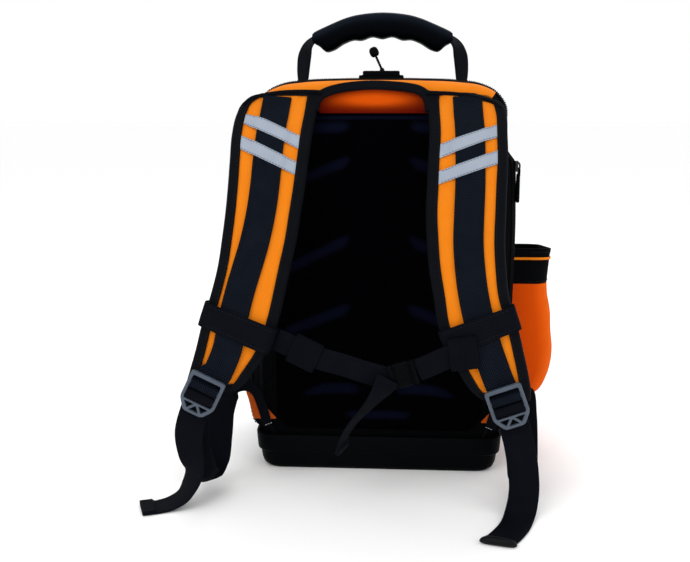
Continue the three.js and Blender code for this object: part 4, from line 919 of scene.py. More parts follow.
def reflector(name, strap, place, drop, nodes):
    """Reflective tape across the strap, draped over the webbing and slanted down to the inside."""
    half = min(np.interp((3, 4), strap["row"], strap["half"]))
    edge = half - BINDING_REACH + 1
    asides = np.linspace(-edge, edge, 61)
    rings = []
    for aside in asides:
        middle = place + drop * (aside + edge) / (2 * edge)
        ring = []
        for share, out in REFLECTOR_SECTION:
            spot = at_row(strap, np.array(middle + share * REFLECTOR["length"] / 2))
            off_web = abs(aside + spot["web"]) - STRIP_WIDTH / 2
            over_web = 1 - ease((off_web + 0.3) / REFLECTOR["drape"])
            foam = foam_height(spot["half"] - abs(aside), spot["thick"])
            web = spot["thick"] / 2 - foam + WEB_CLEAR + STRIP_THICK / 2
            base = foam + REFLECTOR["seat"] + over_web * web
            ring.append(on_strap(spot, aside, base + out * REFLECTOR["thick"]))
        rings.append(ring)
    rings = np.array(rings)
    lay = lay_out(asides, [share * REFLECTOR["lay_half"] for share, _ in REFLECTOR_SECTION])
    piece(name, *loft(rings), REFLECTIVE, "reflective_tape", nodes, lay=lay)
    out = unit(np.cross(np.gradient(rings[:, 3], axis=0), rings[:, 5] - rings[:, 1]))
    out *= -np.sign(out[:, 1:2])
    beads = []
    for near, far in ((1, 2), (5, 4)):
        line = rings[:, near] * 0.7 + rings[:, far] * 0.3 + out * 0.2
        beads += stitch_line(line, out, length=2.6, gap=1.0, radius=0.34)
    stitching(f"{name}_stitching", beads, GREY_THREAD, "reflective_tape")


def band_ring(strap, row, grown):
    """Ring round the strap, with round corners and a tilt to its run."""
    spot = at_row(strap, np.array(row))
    half, corner = spot["half"] + CROSS_BAND["aside"], CROSS_BAND["round"]
    asides, outs = [], []
    for a_sign, b_sign, start in ((1, 1, 0), (-1, 1, 90), (-1, -1, 180), (1, -1, 270)):
        tall = spot["thick"] / 2 + CROSS_BAND["front" if b_sign > 0 else "back"]
        for turn in np.radians(np.arange(start, start + 90.1, 22.5)):
            asides.append(a_sign * (half - corner) + (corner + grown) * math.cos(turn))
            outs.append(b_sign * (tall - corner) + (corner + grown) * math.sin(turn))
        if a_sign == b_sign:
            for share in np.linspace(1, -1, 9)[1:-1]:
                asides.append(a_sign * share * (half - corner))
                outs.append(b_sign * (tall + grown))
    asides = np.array(asides)
    tilted = at_row(strap, row + CROSS_BAND["tilt"] * asides)
    return on_strap(tilted, asides * (tilted["half"] / spot["half"]), outs)


def cross_band(side, strap):
    """Band of webbing sewn round the strap, over its edges and its mesh webbing."""
    rows = np.linspace(CROSS_BAND["from"], CROSS_BAND["to"], 9)
    outside = [band_ring(strap, row, CROSS_BAND["thick"]) for row in rows]
    inside = [band_ring(strap, row, 0) for row in rows]
    lengths = np.concatenate([rows, rows[::-1]]) * CROSS_BAND["row_length"]
    around = np.linspace(0, CROSS_BAND["girth"], len(outside[0]))
    piece(f"sewn_band_{side}", *loft([*outside, *inside[::-1]], looped=True), WEBBING, "webbing",
          [f"cross_band_{side}"], lay=lay_out(lengths, around)[:, [1, 0, 2]])
    beads = []
    on_face = slice(3, 13)
    for row in (rows[0] + 0.1, rows[-1] - 0.1):
        line = band_ring(strap, row, CROSS_BAND["thick"] + 0.15)[on_face]
        outward = np.tile(at_row(strap, np.array(row))["face"], (len(line), 1))
        beads += stitch_line(line, outward)
    stitching(f"band_stitching_{side}", beads, BLACK_THREAD, "webbing")


def ladder_lock(side, lock):
    """Ladder lock with three slots and a latticed foot, as a bevelled plate."""
    curve = bpy.data.curves.new(f"ladder_lock_{side}", "CURVE")
    curve.dimensions = "2D"
    curve.fill_mode = "BOTH"
    curve.extrude = (LOCK_THICK / 2 - LOCK_BEVEL) * MM
    curve.bevel_depth = LOCK_BEVEL * MM
    curve.bevel_resolution = 3
    half = LOCK_SLOT_HALF
    slots = [[(-half, low), (half, low), (half, high), (-half, high)] for low, high in LOCK_SLOTS]
    outlines = [(LOCK_OUTLINE, LOCK_ROUND["outline"], -LOCK_BEVEL)]
    outlines += [(corners, LOCK_ROUND["slot"], LOCK_BEVEL) for corners in slots]
    outlines += [(corners, LOCK_ROUND["lattice"], LOCK_BEVEL) for corners in LOCK_LATTICE]
    for corners, round_off, growth in outlines:
        ring = grow(rounded(corners, round_off, 5), growth)
        spline = curve.splines.new("POLY")
        spline.points.add(len(ring) - 1)
        for point, (a, below) in zip(spline.points, ring):
            point.co = (a * MM, -below * MM, 0, 1)
        spline.use_cyclic_u = True
    maker = bpy.data.objects.new("lock_outline", curve)
    mesh = maker.to_mesh()
    flat = np.array([v.co[:] for v in mesh.vertices]) / MM
    faces = [tuple(f.vertices) for f in mesh.polygons]
    maker.to_mesh_clear()
    bpy.data.objects.remove(maker)
    centre, across, up, face = lock_axes(lock)
    points = centre + across * flat[:, :1] + up * flat[:, 1:2] + face * flat[:, 2:]
    obj = piece(f"ladder_lock_{side}", points, faces, LOCK_GREY, "lock_grey", [f"lock_{side}"])
    weld = obj.modifiers.new("weld", "WELD")
    weld.merge_threshold = 0.01 * MM


def rounded(corners, round_off, parts):
    """Closed polygon with each corner cut to a curve."""
    corners = np.asarray(corners, float)
    ring = []
    for i, here in enumerate(corners):
        start = here + unit(corners[i - 1] - here) * round_off
        end = here + unit(corners[(i + 1) % len(corners)] - here) * round_off
        for s in np.linspace(0, 1, parts):
            ring.append((1 - s) ** 2 * start + 2 * s * (1 - s) * here + s**2 * end)
    return np.array(ring)


def grow(ring, distance):
    """Closed polygon moved out by a distance, or in by a negative one."""
    run = unit(np.roll(ring, -1, 0) - np.roll(ring, 1, 0))
    normal = np.stack([run[:, 1], -run[:, 0]], 1)
    outward = np.sign(np.sum(normal * (ring - ring.mean(0))))
    return ring + normal * outward * distance


def loop_cup(place):
    """Lift of the webbing's edges near the foot of its loop; the tail in front of it has none."""
    low = ease((LOOP_CUP["from"] - place[2]) / (LOOP_CUP["from"] - LOOP_CUP["to"]))
    return LOOP_CUP["lift"] * low if place[1] > LOOP_CUP["depth"] else 0.0


def adjuster(side, loop, lock, tail):
    """Adjusting webbing: from the wing, down and up in a loop, round the lock's bars, then the free tail."""
    rows = [*loop, *through_lock(lock, ADJUSTER_IN_LOCK), *tail]
    ribbon(f"adjusting_webbing_{side}", rows, ADJUSTER_WIDTH, WEB_THICK, [f"adjuster_{side}"], step=1.5,
           hem=HEM[side], fold=WING_FOLD, cup=loop_cup)


def rolled_hem(name, ends, radius):
    """Free end of a webbing that is rolled over itself: a plump spindle on the floor between two places."""
    start, end = (np.array([*place, FLOOR_CLEAR]) for place in ends)
    up = np.array(UP)
    out = unit(np.cross(end - start, up))
    shares = (1 - np.cos(np.linspace(0, math.pi, 25))) / 2
    turns = np.radians(np.arange(0, 360, 20))
    rings = []
    for share in shares:
        girth = radius * math.sqrt(max(0.04, 1 - abs(2 * share - 1) ** 4))
        middle = start + (end - start) * share + up * (girth + radius) / 2
        rings.append([middle + girth * (out * math.cos(t) + up * math.sin(t)) for t in turns])
    lengths = shares * np.linalg.norm(end - start)
    piece(name, *loft(rings), WAXED_WEBBING, "webbing", lay=lay_out(lengths, radius * turns))


def top_seam(side, places):
    """Black tape along the top edge of a strap, where it is sewn to the yoke."""
    rows = []
    for x, z in places:
        depth = TOP_SEAM["depth"] + TOP_SEAM["slope"] * (z - TOP_SEAM["level"])
        rows.append((x, depth, z + TOP_SEAM["lift"], *TOP_SEAM_ACROSS))
    ribbon(f"top_seam_{side}", rows, TOP_SEAM["width"], TOP_SEAM["thick"], step=2.5, material=BINDING)


def shoulder_strap(side, rows, lock, loop, tail, mark):
    """All pieces of one shoulder strap, from its foam to its adjusting webbing."""
    strap = strap_run(rows)
    strap_pad(side, strap)
    strap_binding(side, strap)
    strap_stitches(side, strap)
    strap_webbing(side, strap, lock)
    for name, place in (("upper", mark["place"]), ("lower", mark["place"] + REFLECTOR["step"])):
        reflector(f"tape_{side}_{name}", strap, place, mark["drop"], [f"reflector_{side}_{name}"])
    cross_band(side, strap)
    ladder_lock(side, lock)
    adjuster(side, loop, lock, tail)


shoulder_strap("left", LEFT_STRAP, LEFT_LOCK, LEFT_LOOP, LEFT_TAIL, LEFT_MARK)
shoulder_strap("right", RIGHT_STRAP, RIGHT_LOCK, RIGHT_LOOP, RIGHT_TAIL, RIGHT_MARK)
rolled_hem("tail_roll_right", **RIGHT_ROLL)
top_seam("left", LEFT_SEAM)
top_seam("right", RIGHT_SEAM)


# Sternum strap


def rounded_box_rings(length, depth, height, round_off, ends):
    """Rings along X of a box with round edges; ends are (place, shrink) pairs from one end to the other."""
    outline = rounded(rectangle(depth / 2, height / 2), round_off, 6)
    return [on_side(grow(outline, -shrink), place * length / 2, 0, 0) for place, shrink in ends]


def turned(points, centre, lean, yaw=0.0):
    """Points about the origin turned about Z, then about Y, and moved to a centre."""
    points = np.asarray(points, float)
    c, s = math.cos(math.radians(yaw)), math.sin(math.radians(yaw))
    points = points @ np.array([[c, s, 0], [-s, c, 0], [0, 0, 1]])
    c, s = math.cos(math.radians(lean)), math.sin(math.radians(lean))
    points = points @ np.array([[c, 0, -s], [0, 1, 0], [s, 0, c]])
    return points + np.array(centre, float)


def sternum_buckle():
    """Side release buckle, closed: a shell with two waists, two side arms and a centre rib."""
    length, depth, height = (STERNUM_BUCKLE[key] for key in ("length", "depth", "height"))

    def block(sections, deep, tall, round_off, forward, up):
        """Rounded block of the buckle, moved forward and up."""
        points, faces = loft(rounded_box_rings(length, deep, tall, round_off, sections))
        return points + np.array([0, -forward, up]), faces

    arm_up = height / 2 - 4.6
    points, faces = joined([
        block(BUCKLE_SHELL, depth - 1.6, height, 3.2, 0, 0),
        block(BUCKLE_ARM, depth - 3.2, 6.5, 1.6, 2.0, -arm_up),
        block(BUCKLE_ARM, depth - 3.2, 6.5, 1.6, 2.0, arm_up),
        block(BUCKLE_RIB, depth - 3.6, 9.0, 1.6, 1.8, 0),
    ])
    points = turned(points, STERNUM_BUCKLE["centre"], STERNUM_BUCKLE["lean"])
    piece("chest_buckle", points, faces, MOULDED, "moulded_black", ["sternum_buckle"])


def sternum_keeper(name, size, nodes=()):
    """Flat loop that holds the sternum webbing at a strap."""
    places = np.linspace(-1, 1, 9)
    soft = 0.5 * ease((np.abs(places) - 0.8) / 0.2)
    box = size["length"], size["thick"], size["height"], KEEPER_ROUND
    outside = rounded_box_rings(*box, zip(places, soft))
    inside = rounded_box_rings(*box, zip(places, KEEPER_WALL - soft))
    points, faces = loft([*outside, *inside[::-1]], looped=True)
    points = turned(points, size["centre"], size["lean"], size["yaw"])
    lengths = places * size["length"] / 2
    lay = lay_out(np.concatenate([lengths, lengths[::-1]]), np.linspace(0, 85, len(outside[0])))
    piece(name, points, faces, WEBBING, "webbing", nodes, lay=lay[:, [1, 0, 2]])


ribbon("chest_webbing_left", STERNUM_LEFT, NARROW_WEB, STRIP_THICK, ["sternum_left"], step=3)
ribbon("chest_webbing_right", STERNUM_RIGHT, NARROW_WEB, STRIP_THICK, ["sternum_right"])
ribbon("chest_tail", STERNUM_TAIL, NARROW_WEB, STRIP_THICK, ["sternum_tail"], hem=HEM["sternum"])
sternum_buckle()
sternum_keeper("chest_keeper_left", LEFT_KEEPER, ["sternum_keeper"])
sternum_keeper("chest_keeper_right", RIGHT_KEEPER)


# Body, base, back pad, yoke and corner triangles


def body_stations(step):
    """Points and outward normals round the body from the left foot over the top to the right foot."""
    right = smooth([(half, 0, z) for half, z in BODY_OUTLINE], step)[:, [0, 2]]
    left = right[:-1] * np.array([-1, 1])
    all_points = np.vstack([left, right[::-1]])
    run = unit(np.gradient(all_points, axis=0))
    return all_points, np.stack([-run[:, 1], run[:, 0]], 1)


def inset_at(depth):
    """Set-in of the gusset's face at a depth."""
    profile = smooth([(y, inset, 0) for y, inset in GUSSET_PROFILE], 2)
    return np.interp(depth, profile[:, 0], profile[:, 1])


def zip_dent(p, depth):
    """Depth of the hollow above the zip slider, which fades towards the front."""
    (foot, rise), (top, fall), (front, fade) = (ZIP_DENT[edge] for edge in ("foot", "top", "front"))
    across = ease((p[..., 1] - foot) / rise) * ease((top - p[..., 1]) / fall) * (p[..., 0] > 0)
    return ZIP_DENT["depth"] * across * ease((front - depth) / fade)


def on_body(p, normal, inset, depth):
    """Place on the body at a set-in from its outline, at a depth."""
    x = p[..., 0] - normal[..., 0] * inset - zip_dent(p, depth)
    return np.stack([x, np.broadcast_to(depth, np.shape(x)), p[..., 1] - normal[..., 1] * inset], axis=-1)


def waves(points, size, height, seed):
    """Slow random swell of a surface: a sum of a few seeded waves, in millimetres."""
    draw = np.random.default_rng(seed)
    total = np.zeros(len(points))
    for _ in range(9):
        direction = unit(draw.normal(size=3))
        pitch = size * draw.uniform(0.6, 1.6)
        total += np.sin(points @ direction * 2 * math.pi / pitch + draw.uniform(0, 6.3))
    return height * total / 3


STATIONS, STATION_NORMALS = body_stations(7)
STATION_WALK = path_lengths(STATIONS)


def gusset():
    """Side and top wall of the body, a fabric band with a light swell."""
    depths, insets = smooth([(y, inset, 0) for y, inset in GUSSET_PROFILE], 6)[:, :2].T
    middle = (BACK_Y + FRONT_Y) / 2
    shrink = 1 - 2 * WALL / (FRONT_Y - BACK_Y)
    rings = []
    for p, normal in zip(STATIONS, STATION_NORMALS):
        outside = on_body(p, normal, insets, depths)
        inside = on_body(p, normal, insets + WALL, middle + (depths - middle) * shrink)
        rings.append(np.vstack([outside, inside[::-1]]))
    points, faces = loft(rings)
    span = len(depths)
    free = np.tile(np.concatenate([np.hanning(span), np.zeros(span)]), len(rings))
    normals = np.repeat(STATION_NORMALS, 2 * span, axis=0)
    points[:, [0, 2]] += normals * (waves(points, **SIDE_WAVES) * free)[:, None]
    lay = lay_out(STATION_WALK, np.concatenate([depths, depths[::-1]]))
    piece("side_wall", points, faces, BODY_CLOTH, "body_fabric", ["gusset"], lay=lay)


def wall_panel(name, depth, inward, inset, bulge, wave, node_name):
    """Large wall of the body: a fabric sheet inside the seam, swelling towards its middle."""
    p, normal = body_stations(10)
    edge = on_body(p, normal, inset, depth)[:, [0, 2]]
    foot = np.linspace(edge[-1], edge[0], 27)[1:-1]
    edge = np.vstack([edge, foot])
    hub = np.array([0, WALL_MIDDLE_Z])
    shares = np.linspace(1, 0.04, 22)
    sheets = []
    for layer in (0, WALL * inward):
        for share in shares:
            sheet = upright(hub + (edge - hub) * share, depth - inward * bulge * (1 - share**2) + layer)
            sheet[:, 1] += waves(sheet, **wave) * (1 - share**4)
            sheets.append(sheet)
    outside, inside = sheets[:len(shares)], sheets[len(shares):]
    points, faces = loft([*inside[::-1], *outside])
    piece(name, points, faces, BODY_CLOTH, "body_fabric", [node_name], lay=points[:, [0, 2, 1]])


def tube(line, radius, sides=10, closed=False):
    """Round cord along a line of points."""
    along = unit(np.gradient(line, axis=0))
    if closed:
        along = unit(np.roll(line, -1, 0) - np.roll(line, 1, 0))
    side = unit(np.cross(along, np.array([0, 1.0, 0.02])))
    other = np.cross(side, along)
    turns = np.radians(np.arange(sides) * 360 / sides)
    rings = line[:, None] + radius * (np.cos(turns)[None, :, None] * side[:, None]
                                      + np.sin(turns)[None, :, None] * other[:, None])
    return loft(rings, looped=closed)


def piping(name, depth, inset, node_name):
    """Corded edge round the body at a depth."""
    line = on_body(STATIONS, STATION_NORMALS, inset, depth)
    around = np.linspace(0, PIPING["girth"], 10, endpoint=False)
    piece(name, *tube(line, PIPING["radius"]), BINDING, "body_fabric", [node_name],
          lay=lay_out(STATION_WALK, around))


def tub_ring(half, back, front, round_off):
    """Plan of the base tub with round corners and points along its sides."""
    corners = rounded([(-half, back), (half, back), (half, front), (-half, front)], round_off * 1.3, 9)
    ring = []
    for here, after in zip(corners, np.roll(corners, -1, 0)):
        parts = max(1, int(np.linalg.norm(after - here) / 12))
        ring += [here + (after - here) * k / parts for k in range(parts)]
    return ring


def softened(before, here, after):
    """Rows of a round tier edge at one row of the tub's table."""
    ends = []
    for other in (before, after):
        reach = TIER_ROUND / max(1.5, np.linalg.norm((other - here)[:2]))
        ends.append(here + (other - here) * min(0.4, reach))
    start, end = ends
    return [(1 - s) ** 2 * start + 2 * s * (1 - s) * here + s**2 * end for s in (0, 0.33, 0.67, 1)]


def base_tub():
    """Moulded tub with round tier edges and a lipped rim."""
    tiers = np.array(BASE_TIERS, float)
    soft = [tiers[0]]
    for corner in zip(tiers, tiers[1:], tiers[2:]):
        soft += softened(*corner)
    soft.append(tiers[-1])
    _, plan_half, plan_back, plan_front, plan_round = tiers[3]
    plan = np.array(tub_ring(plan_half, plan_back, plan_front, plan_round))
    plan -= np.array([0, (plan_back + plan_front) / 2])
    rings = []
    for z, half, back, front, _ in soft:
        reach = np.array([half / plan_half, (front - back) / (plan_front - plan_back)])
        rings.append(level(plan * reach + np.array([0, (back + front) / 2]), z))
    piece("moulded_tub", *loft(rings), MOULDED, "moulded_black", ["base_tub"], sharp=35)


def quad_distance(x, z, corners):
    """Soft distance inwards from the edges of a convex polygon."""
    corners = np.asarray(corners, float)
    middle = corners.mean(0)
    total = np.zeros_like(x)
    softness = 4.0
    for here, after in zip(corners, np.roll(corners, -1, 0)):
        normal = np.array([after[1] - here[1], here[0] - after[0]])
        normal /= np.linalg.norm(normal)
        if normal @ (middle - here) < 0:
            normal = -normal
        inward = (x - here[0]) * normal[0] + (z - here[1]) * normal[1]
        total += np.exp(-inward / softness)
    return -softness * np.log(total)


def rib_height(x, z):
    """Height of the moulded ribs over the pad's face."""
    height = np.zeros_like(x)
    mirrored = [[(-a, b) for a, b in rib] for rib in BACK_RIBS]
    for rib in [*BACK_RIBS, *mirrored, LUMBAR_TAIL]:
        rise = ease((quad_distance(x, z, rib) + RIB_SLOPE["start"]) / RIB_SLOPE["length"])
        height = np.maximum(height, BACK_PAD["rib"] * rise)
    return height


def back_pad():
    """Moulded back pad: one fine sheet with puffed slanted ribs and a channel down the middle."""
    half, bottom, top, round_off = (BACK_PAD[key] for key in ("half", "bottom", "top", "round"))
    heights = np.linspace(bottom, top, BACK_PAD["rows"])
    from_end = np.minimum(heights - bottom, top - heights)
    corner = np.clip(1 - from_end / round_off, 0, 1)
    widths = half - round_off * (1 - np.sqrt(1 - corner**2))
    shares = spread(BACK_PAD["columns"], BACK_PAD["crowding"])
    x = widths[:, None] * shares[None]
    z = np.repeat(heights[:, None], len(shares), 1)
    edge = np.minimum(widths[:, None] - np.abs(x), from_end[:, None])
    rim = np.clip(1 - edge / BACK_PAD["rim"], 0, 1)
    seat = BACK_Y - GAP
    ribs = rib_height(x, z) * ease(edge / BACK_PAD["rib_end"])
    rise = (BACK_PAD["thick"] - BACK_PAD["edge"]) * np.sqrt(1 - rim**2)
    front = np.stack([x, seat - BACK_PAD["edge"] - rise - ribs, z], -1)
    back = np.stack([x, np.full_like(x, seat), z], -1)
    points, faces = loft(np.concatenate([front, back[:, ::-1]], axis=1))
    obj = piece("ribbed_back_pad", points, faces, BACK_MESH, "back_mesh", ["back_pad"],
                lay=points[:, [0, 2, 1]], sharp=60)
    held = np.concatenate([ribs < BACK_PAD["rib"] / 6, np.ones_like(ribs, dtype=bool)], axis=1)
    swell(obj, held.ravel(), SWELL["back_pressure"], SWELL["back_cap"])


def plate(name, corners, depths, material, slot, nodes, round_off=4.0, puff=0.6):
    """Flat sewn panel facing the camera, slightly crowned."""
    ring = rounded(corners, round_off, 6)
    middle = ring.mean(0)
    seat, face = depths
    rows = [(1.0, seat), (1.0, face + 0.7), (0.985, face + 0.2), (0.95, face), (0.8, face - puff * 0.5),
            (0.5, face - puff), (0.1, face - puff)]
    points, faces = loft([upright(middle + (ring - middle) * share, depth) for share, depth in rows])
    piece(name, points, faces, material, slot, nodes, lay=points[:, [0, 2, 1]])


def yoke():
    """Orange band over the top edge of the back, between corded edge and arch."""
    legs = smooth([(y, inset, 0) for y, inset in YOKE_PROFILE], 0.8)[:, :2]
    walk = path_lengths(legs)
    run = unit(np.gradient(legs, axis=0))
    path = np.column_stack([legs, run[:, 1], -run[:, 0]])
    p, normals = body_stations(4)
    kept = (np.abs(p[:, 0]) <= YOKE["half"]) & (p[:, 1] > YOKE["lowest"])
    columns = YOKE["columns"]
    puff = YOKE["thick"] * (0.75 + 0.25 * np.sin(np.linspace(0, math.pi, columns)))
    rings = []
    for spot, normal in zip(p[kept], normals[kept]):
        away = abs(spot[0] - YOKE["middle"])
        reach = sum(np.interp(away, *np.transpose(table)) for table in (YOKE_WIDTH, UNDER_ARCH))
        y, inset, out_y, out_inset = at_lengths(np.linspace(0, reach, columns), walk, path).T
        inner = on_body(spot, normal, inset, y)
        outer = on_body(spot, normal, inset - out_inset * puff, y - out_y * puff)
        rings.append(np.vstack([inner, outer[::-1]]))
    across = np.linspace(0, YOKE["lay_width"], columns)
    lay = lay_out(path_lengths(p[kept]), np.concatenate([across, across[::-1]]))
    piece("orange_yoke", *loft(rings), ORANGE, "orange_fabric", ["yoke"], lay=lay)


def arch():
    """Bound band of the arch between the straps."""
    route = np.array(ARCH_ROUTE, float)
    rows = []
    for place, run in zip(route, np.gradient(route, axis=0)):
        rows.append((*place, -run[2] / run[0], ARCH["tilt"], 1))
    ribbon("arch_tape", rows, ARCH["width"], ARCH["thick"], ["arch_binding"], step=3, material=BINDING)


def wing(side, sign):
    """Orange corner triangle that carries the adjusting webbing, with its white bar tack."""
    corners = [(sign * x, z) for x, z in WING]
    plate(f"corner_wing_{side}", corners, WING_DEPTHS, WING_ORANGE, "orange_fabric", [f"wing_{side}"], 3.0)
    (aside, up), (long, fall) = BAR_TACK["step"], BAR_TACK["length"]
    tack = []
    for k in range(3):
        start = np.array([sign * (BAR_TACK["x"] + aside * k), BAR_TACK["y"], BAR_TACK["z"] + up * k])
        end = start + np.array([sign * long, 0, fall])
        tack.append(bead(start, end, np.array(TO_WEARER), BAR_TACK["radius"]))
    stitching(f"bar_tack_{side}", tack, WHITE_THREAD, "webbing")


gusset()
wall_panel("back_wall", BACK_Y, 1, BACK_SEAM_INSET, 0, BACK_WAVES, "back_panel")
wall_panel("front_wall", FRONT_Y, -1, FRONT_SEAM_INSET, FRONT_SWELL, FRONT_WAVES, "front_panel")
piping("back_cord", BACK_Y, PIPING["back_inset"], "piping_back")
piping("front_cord", FRONT_Y, PIPING["front_inset"], "piping_front")
base_tub()
back_pad()
plate("upper_panel", UPPER_BACK, UPPER_BACK_DEPTHS, SHADED_ORANGE, "deep_orange_fabric", ["upper_back"])
yoke()
arch()
for side, sign in SIDES:
    wing(side, sign)


# Side pocket


def pocket_ring(z, reach, grown, slope=0.0):
    """Level ring of the side pocket: round outside corners and a flat back against the wall."""
    x = POCKET_WALL_X + reach + grown
    back, front = POCKET["back"] - grown, POCKET["front"] + grown
    round_off = min(POCKET["round"], reach * 0.7)
    turns = np.radians(np.linspace(0, 90, 9))
    aside, along = round_off * np.sin(turns), round_off * np.cos(turns)
    low = np.column_stack([x - round_off + aside, back + round_off - along])
    high = np.column_stack([x - round_off + along, front - round_off + aside])
    foot = POCKET_WALL_X - min(grown, 0)
    start = np.linspace((foot, back), low[0], 5)[:-1]
    middle = np.linspace(low[-1], high[0], 14)[1:-1]
    end = np.linspace(high[-1], (foot, front), 5)[1:]
    ring = np.vstack([start, low, middle, high, end])
    fall = slope * (ring[:, 1] - POCKET["back"])
    return np.column_stack([ring, z - fall])


def pocket_lay(rings):
    """Weave coordinates that follow a pocket's rings."""
    return lay_out([ring[0][2] for ring in rings], path_lengths(rings[0][:, :2]))


def pocket_pouch():
    """Belly of the side pocket: a sagging fabric shell."""
    rows = smooth([(z, reach, 0) for z, reach in POCKET_REACH], 5)[:, :2]
    wall = POCKET["wall"]
    outside = [pocket_ring(z, reach, 0) for z, reach in rows]
    inside = [pocket_ring(z + wall * (k == 0), reach, -wall) for k, (z, reach) in enumerate(rows[2:])]
    rings = [*outside, *inside[::-1]]
    points, faces = loft(rings)
    (foot, rise), (top, fall) = POCKET_FREE["foot"], POCKET_FREE["top"]
    away = ease((points[:, 0] - POCKET_WALL_X) / POCKET_FREE["wall"])
    tall = ease((points[:, 2] - foot) / rise) * ease((top - points[:, 2]) / fall)
    points[:, 0] += waves(points, **POCKET_WAVES) * away * tall
    piece("pocket_belly", points, faces, POCKET_ORANGE, "deep_orange_fabric", ["pocket_pouch"],
          lay=pocket_lay(rings))


def pocket_band():
    """Black top band of the pocket with a turned hem and a thin orange trim line."""
    foot, top = POCKET["band"] + GAP, POCKET["top"]
    reach = POCKET_REACH[-1][1]

    def band_at(share, out):
        """Ring of the band at a share of its height."""
        wide = reach + (POCKET_TOP_REACH - reach) * share
        return pocket_ring(foot + (top - foot) * share, wide, out, POCKET["slope"] * share)

    heights = np.linspace(0, 1, 12)
    grown = 0.9 * np.exp(-((heights - 0.97) / 0.06) ** 2)
    rings = [band_at(share, out) for share, out in zip(heights, grown)] + [band_at(1.008, -0.6)]
    rings += [band_at(share, -POCKET["wall"]) for share in heights[::-1]]
    piece("pocket_hem", *loft(rings, looped=True), BODY_CLOTH, "body_fabric", ["pocket_band"],
          lay=pocket_lay(rings))
    middle = (POCKET_TRIM["z"] - foot) / (top - foot)
    half = POCKET_TRIM["height"] / 2 / (top - foot)
    rings = np.stack([band_at(middle + half * share, out) for share, out in TRIM_SECTION], axis=1)
    piece("pocket_line", *loft(rings), ORANGE, "orange_fabric", ["pocket_trim"],
          lay=lay_out(path_lengths(rings[:, 0]), np.arange(6)))
    beads = []
    for share in (0.06, 0.9):
        line = band_at(share, 0.5)[3:-3]
        run = np.gradient(line, axis=0)
        beads += stitch_line(line, unit(np.column_stack([run[:, 1], -run[:, 0], np.zeros(len(line))])))
    stitching("pocket_stitching", beads, BLACK_THREAD, "body_fabric")


# Zip


def zip_depth(z):
    """Depth of the zip's middle at a height."""
    return np.interp(z, ZIP["turn"], [ZIP["side"], ZIP["top"]])


def zip_tape():
    """Tapes of the zip round the edge of the body."""
    p, normals = body_stations(5)
    asides = np.linspace(-ZIP["half"], ZIP["half"], 9)
    rings = []
    for spot, normal in zip(p, normals):
        depth = zip_depth(spot[1]) + asides
        seat = inset_at(depth)
        over = on_body(spot, normal, seat - ZIP["tape"] - ZIP["seat"], depth)
        under = on_body(spot, normal, seat - 0.2, depth)
        rings.append(np.vstack([over, under[::-1]]))
    lay = lay_out(path_lengths(p), np.concatenate([asides, asides[::-1]]))
    piece("zip_fabric", *loft(rings), BODY_CLOTH, "body_fabric", ["zip_tape"], lay=lay)


def zip_teeth():
    """Row of coil teeth on the zip, left out under its slider."""
    teeth = []
    for k, (spot, normal) in enumerate(zip(*body_stations(ZIP["pitch"]))):
        at_slider = spot[0] > 0 and abs(spot[1] - SLIDER_Z) < TOOTH["slider_gap"]
        if spot[1] < TOOTH["lowest"] or at_slider:
            continue
        sign = 1 if k % 2 else -1
        depth = zip_depth(spot[1])
        seat = inset_at(depth) - ZIP["tape"] - ZIP["seat"]
        start = on_body(spot, normal, seat, depth - sign * TOOTH["long"])
        end = on_body(spot, normal, seat, depth + sign * TOOTH["short"])
        teeth.append(bead(start, end, np.array([normal[0], 0, normal[1]]), TOOTH["radius"]))
    piece("zip_coil", *joined(teeth), MOULDED, "moulded_black")


def zip_slider():
    """Slider body with a flared nose and a bail over it."""
    low, high = (np.array(corner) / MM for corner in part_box("zip_slider"))
    base, y = low[0] - SLIDER_SET_IN, (low[1] + high[1]) / 2
    outline = rounded(SLIDER_OUTLINE, 1.6, 5)
    layers = [on_side(grow(outline, out), base + height, y, SLIDER_Z) for height, out in SLIDER_LAYERS]
    turns = np.radians(np.linspace(0, 180, 13))
    bail = np.column_stack([base + BAIL["foot"] + BAIL["height"] * np.sin(turns), np.full(13, y),
                            SLIDER_Z + BAIL["reach"] * np.cos(turns)])
    parts = [loft(layers), tube(bail, BAIL["radius"], 8)]
    piece("slider", *joined(parts), DARK_METAL, "slider_metal", ["zip_slider"])


def zip_pull():
    """Hanging pull: a wire loop through the bail and a ribbed moulded tab."""
    x, y, z = PIVOT
    wire = on_side(rounded(PULL_LOOP["corners"], 3.0, 6), x + PULL_LOOP["out"], y, z)
    outline = rounded(PULL_TAB, 2.4, 7)
    tab = [on_side(grow(outline, growth), x + out, y, z) for out, growth in PULL_LAYERS]
    ribs = []
    for k in range(PULL_RIBS["count"]):
        height = z + PULL_RIBS["top"] - PULL_RIBS["step"] * k
        middle = np.array([x + PULL_RIBS["out"], y, height])
        aside = np.array([0, PULL_RIBS["half"], 0])
        ribs.append(bead(middle - aside, middle + aside, np.array([1.0, 0, 0]), PULL_RIBS["radius"]))
    parts = [tube(wire, PULL_LOOP["radius"], 8, closed=True), loft(tab), *ribs]
    piece("pull_tab", *joined(parts), MOULDED, "moulded_black", ["zip_pull"], body="zip_pull")


# Handle and the pieces on the top


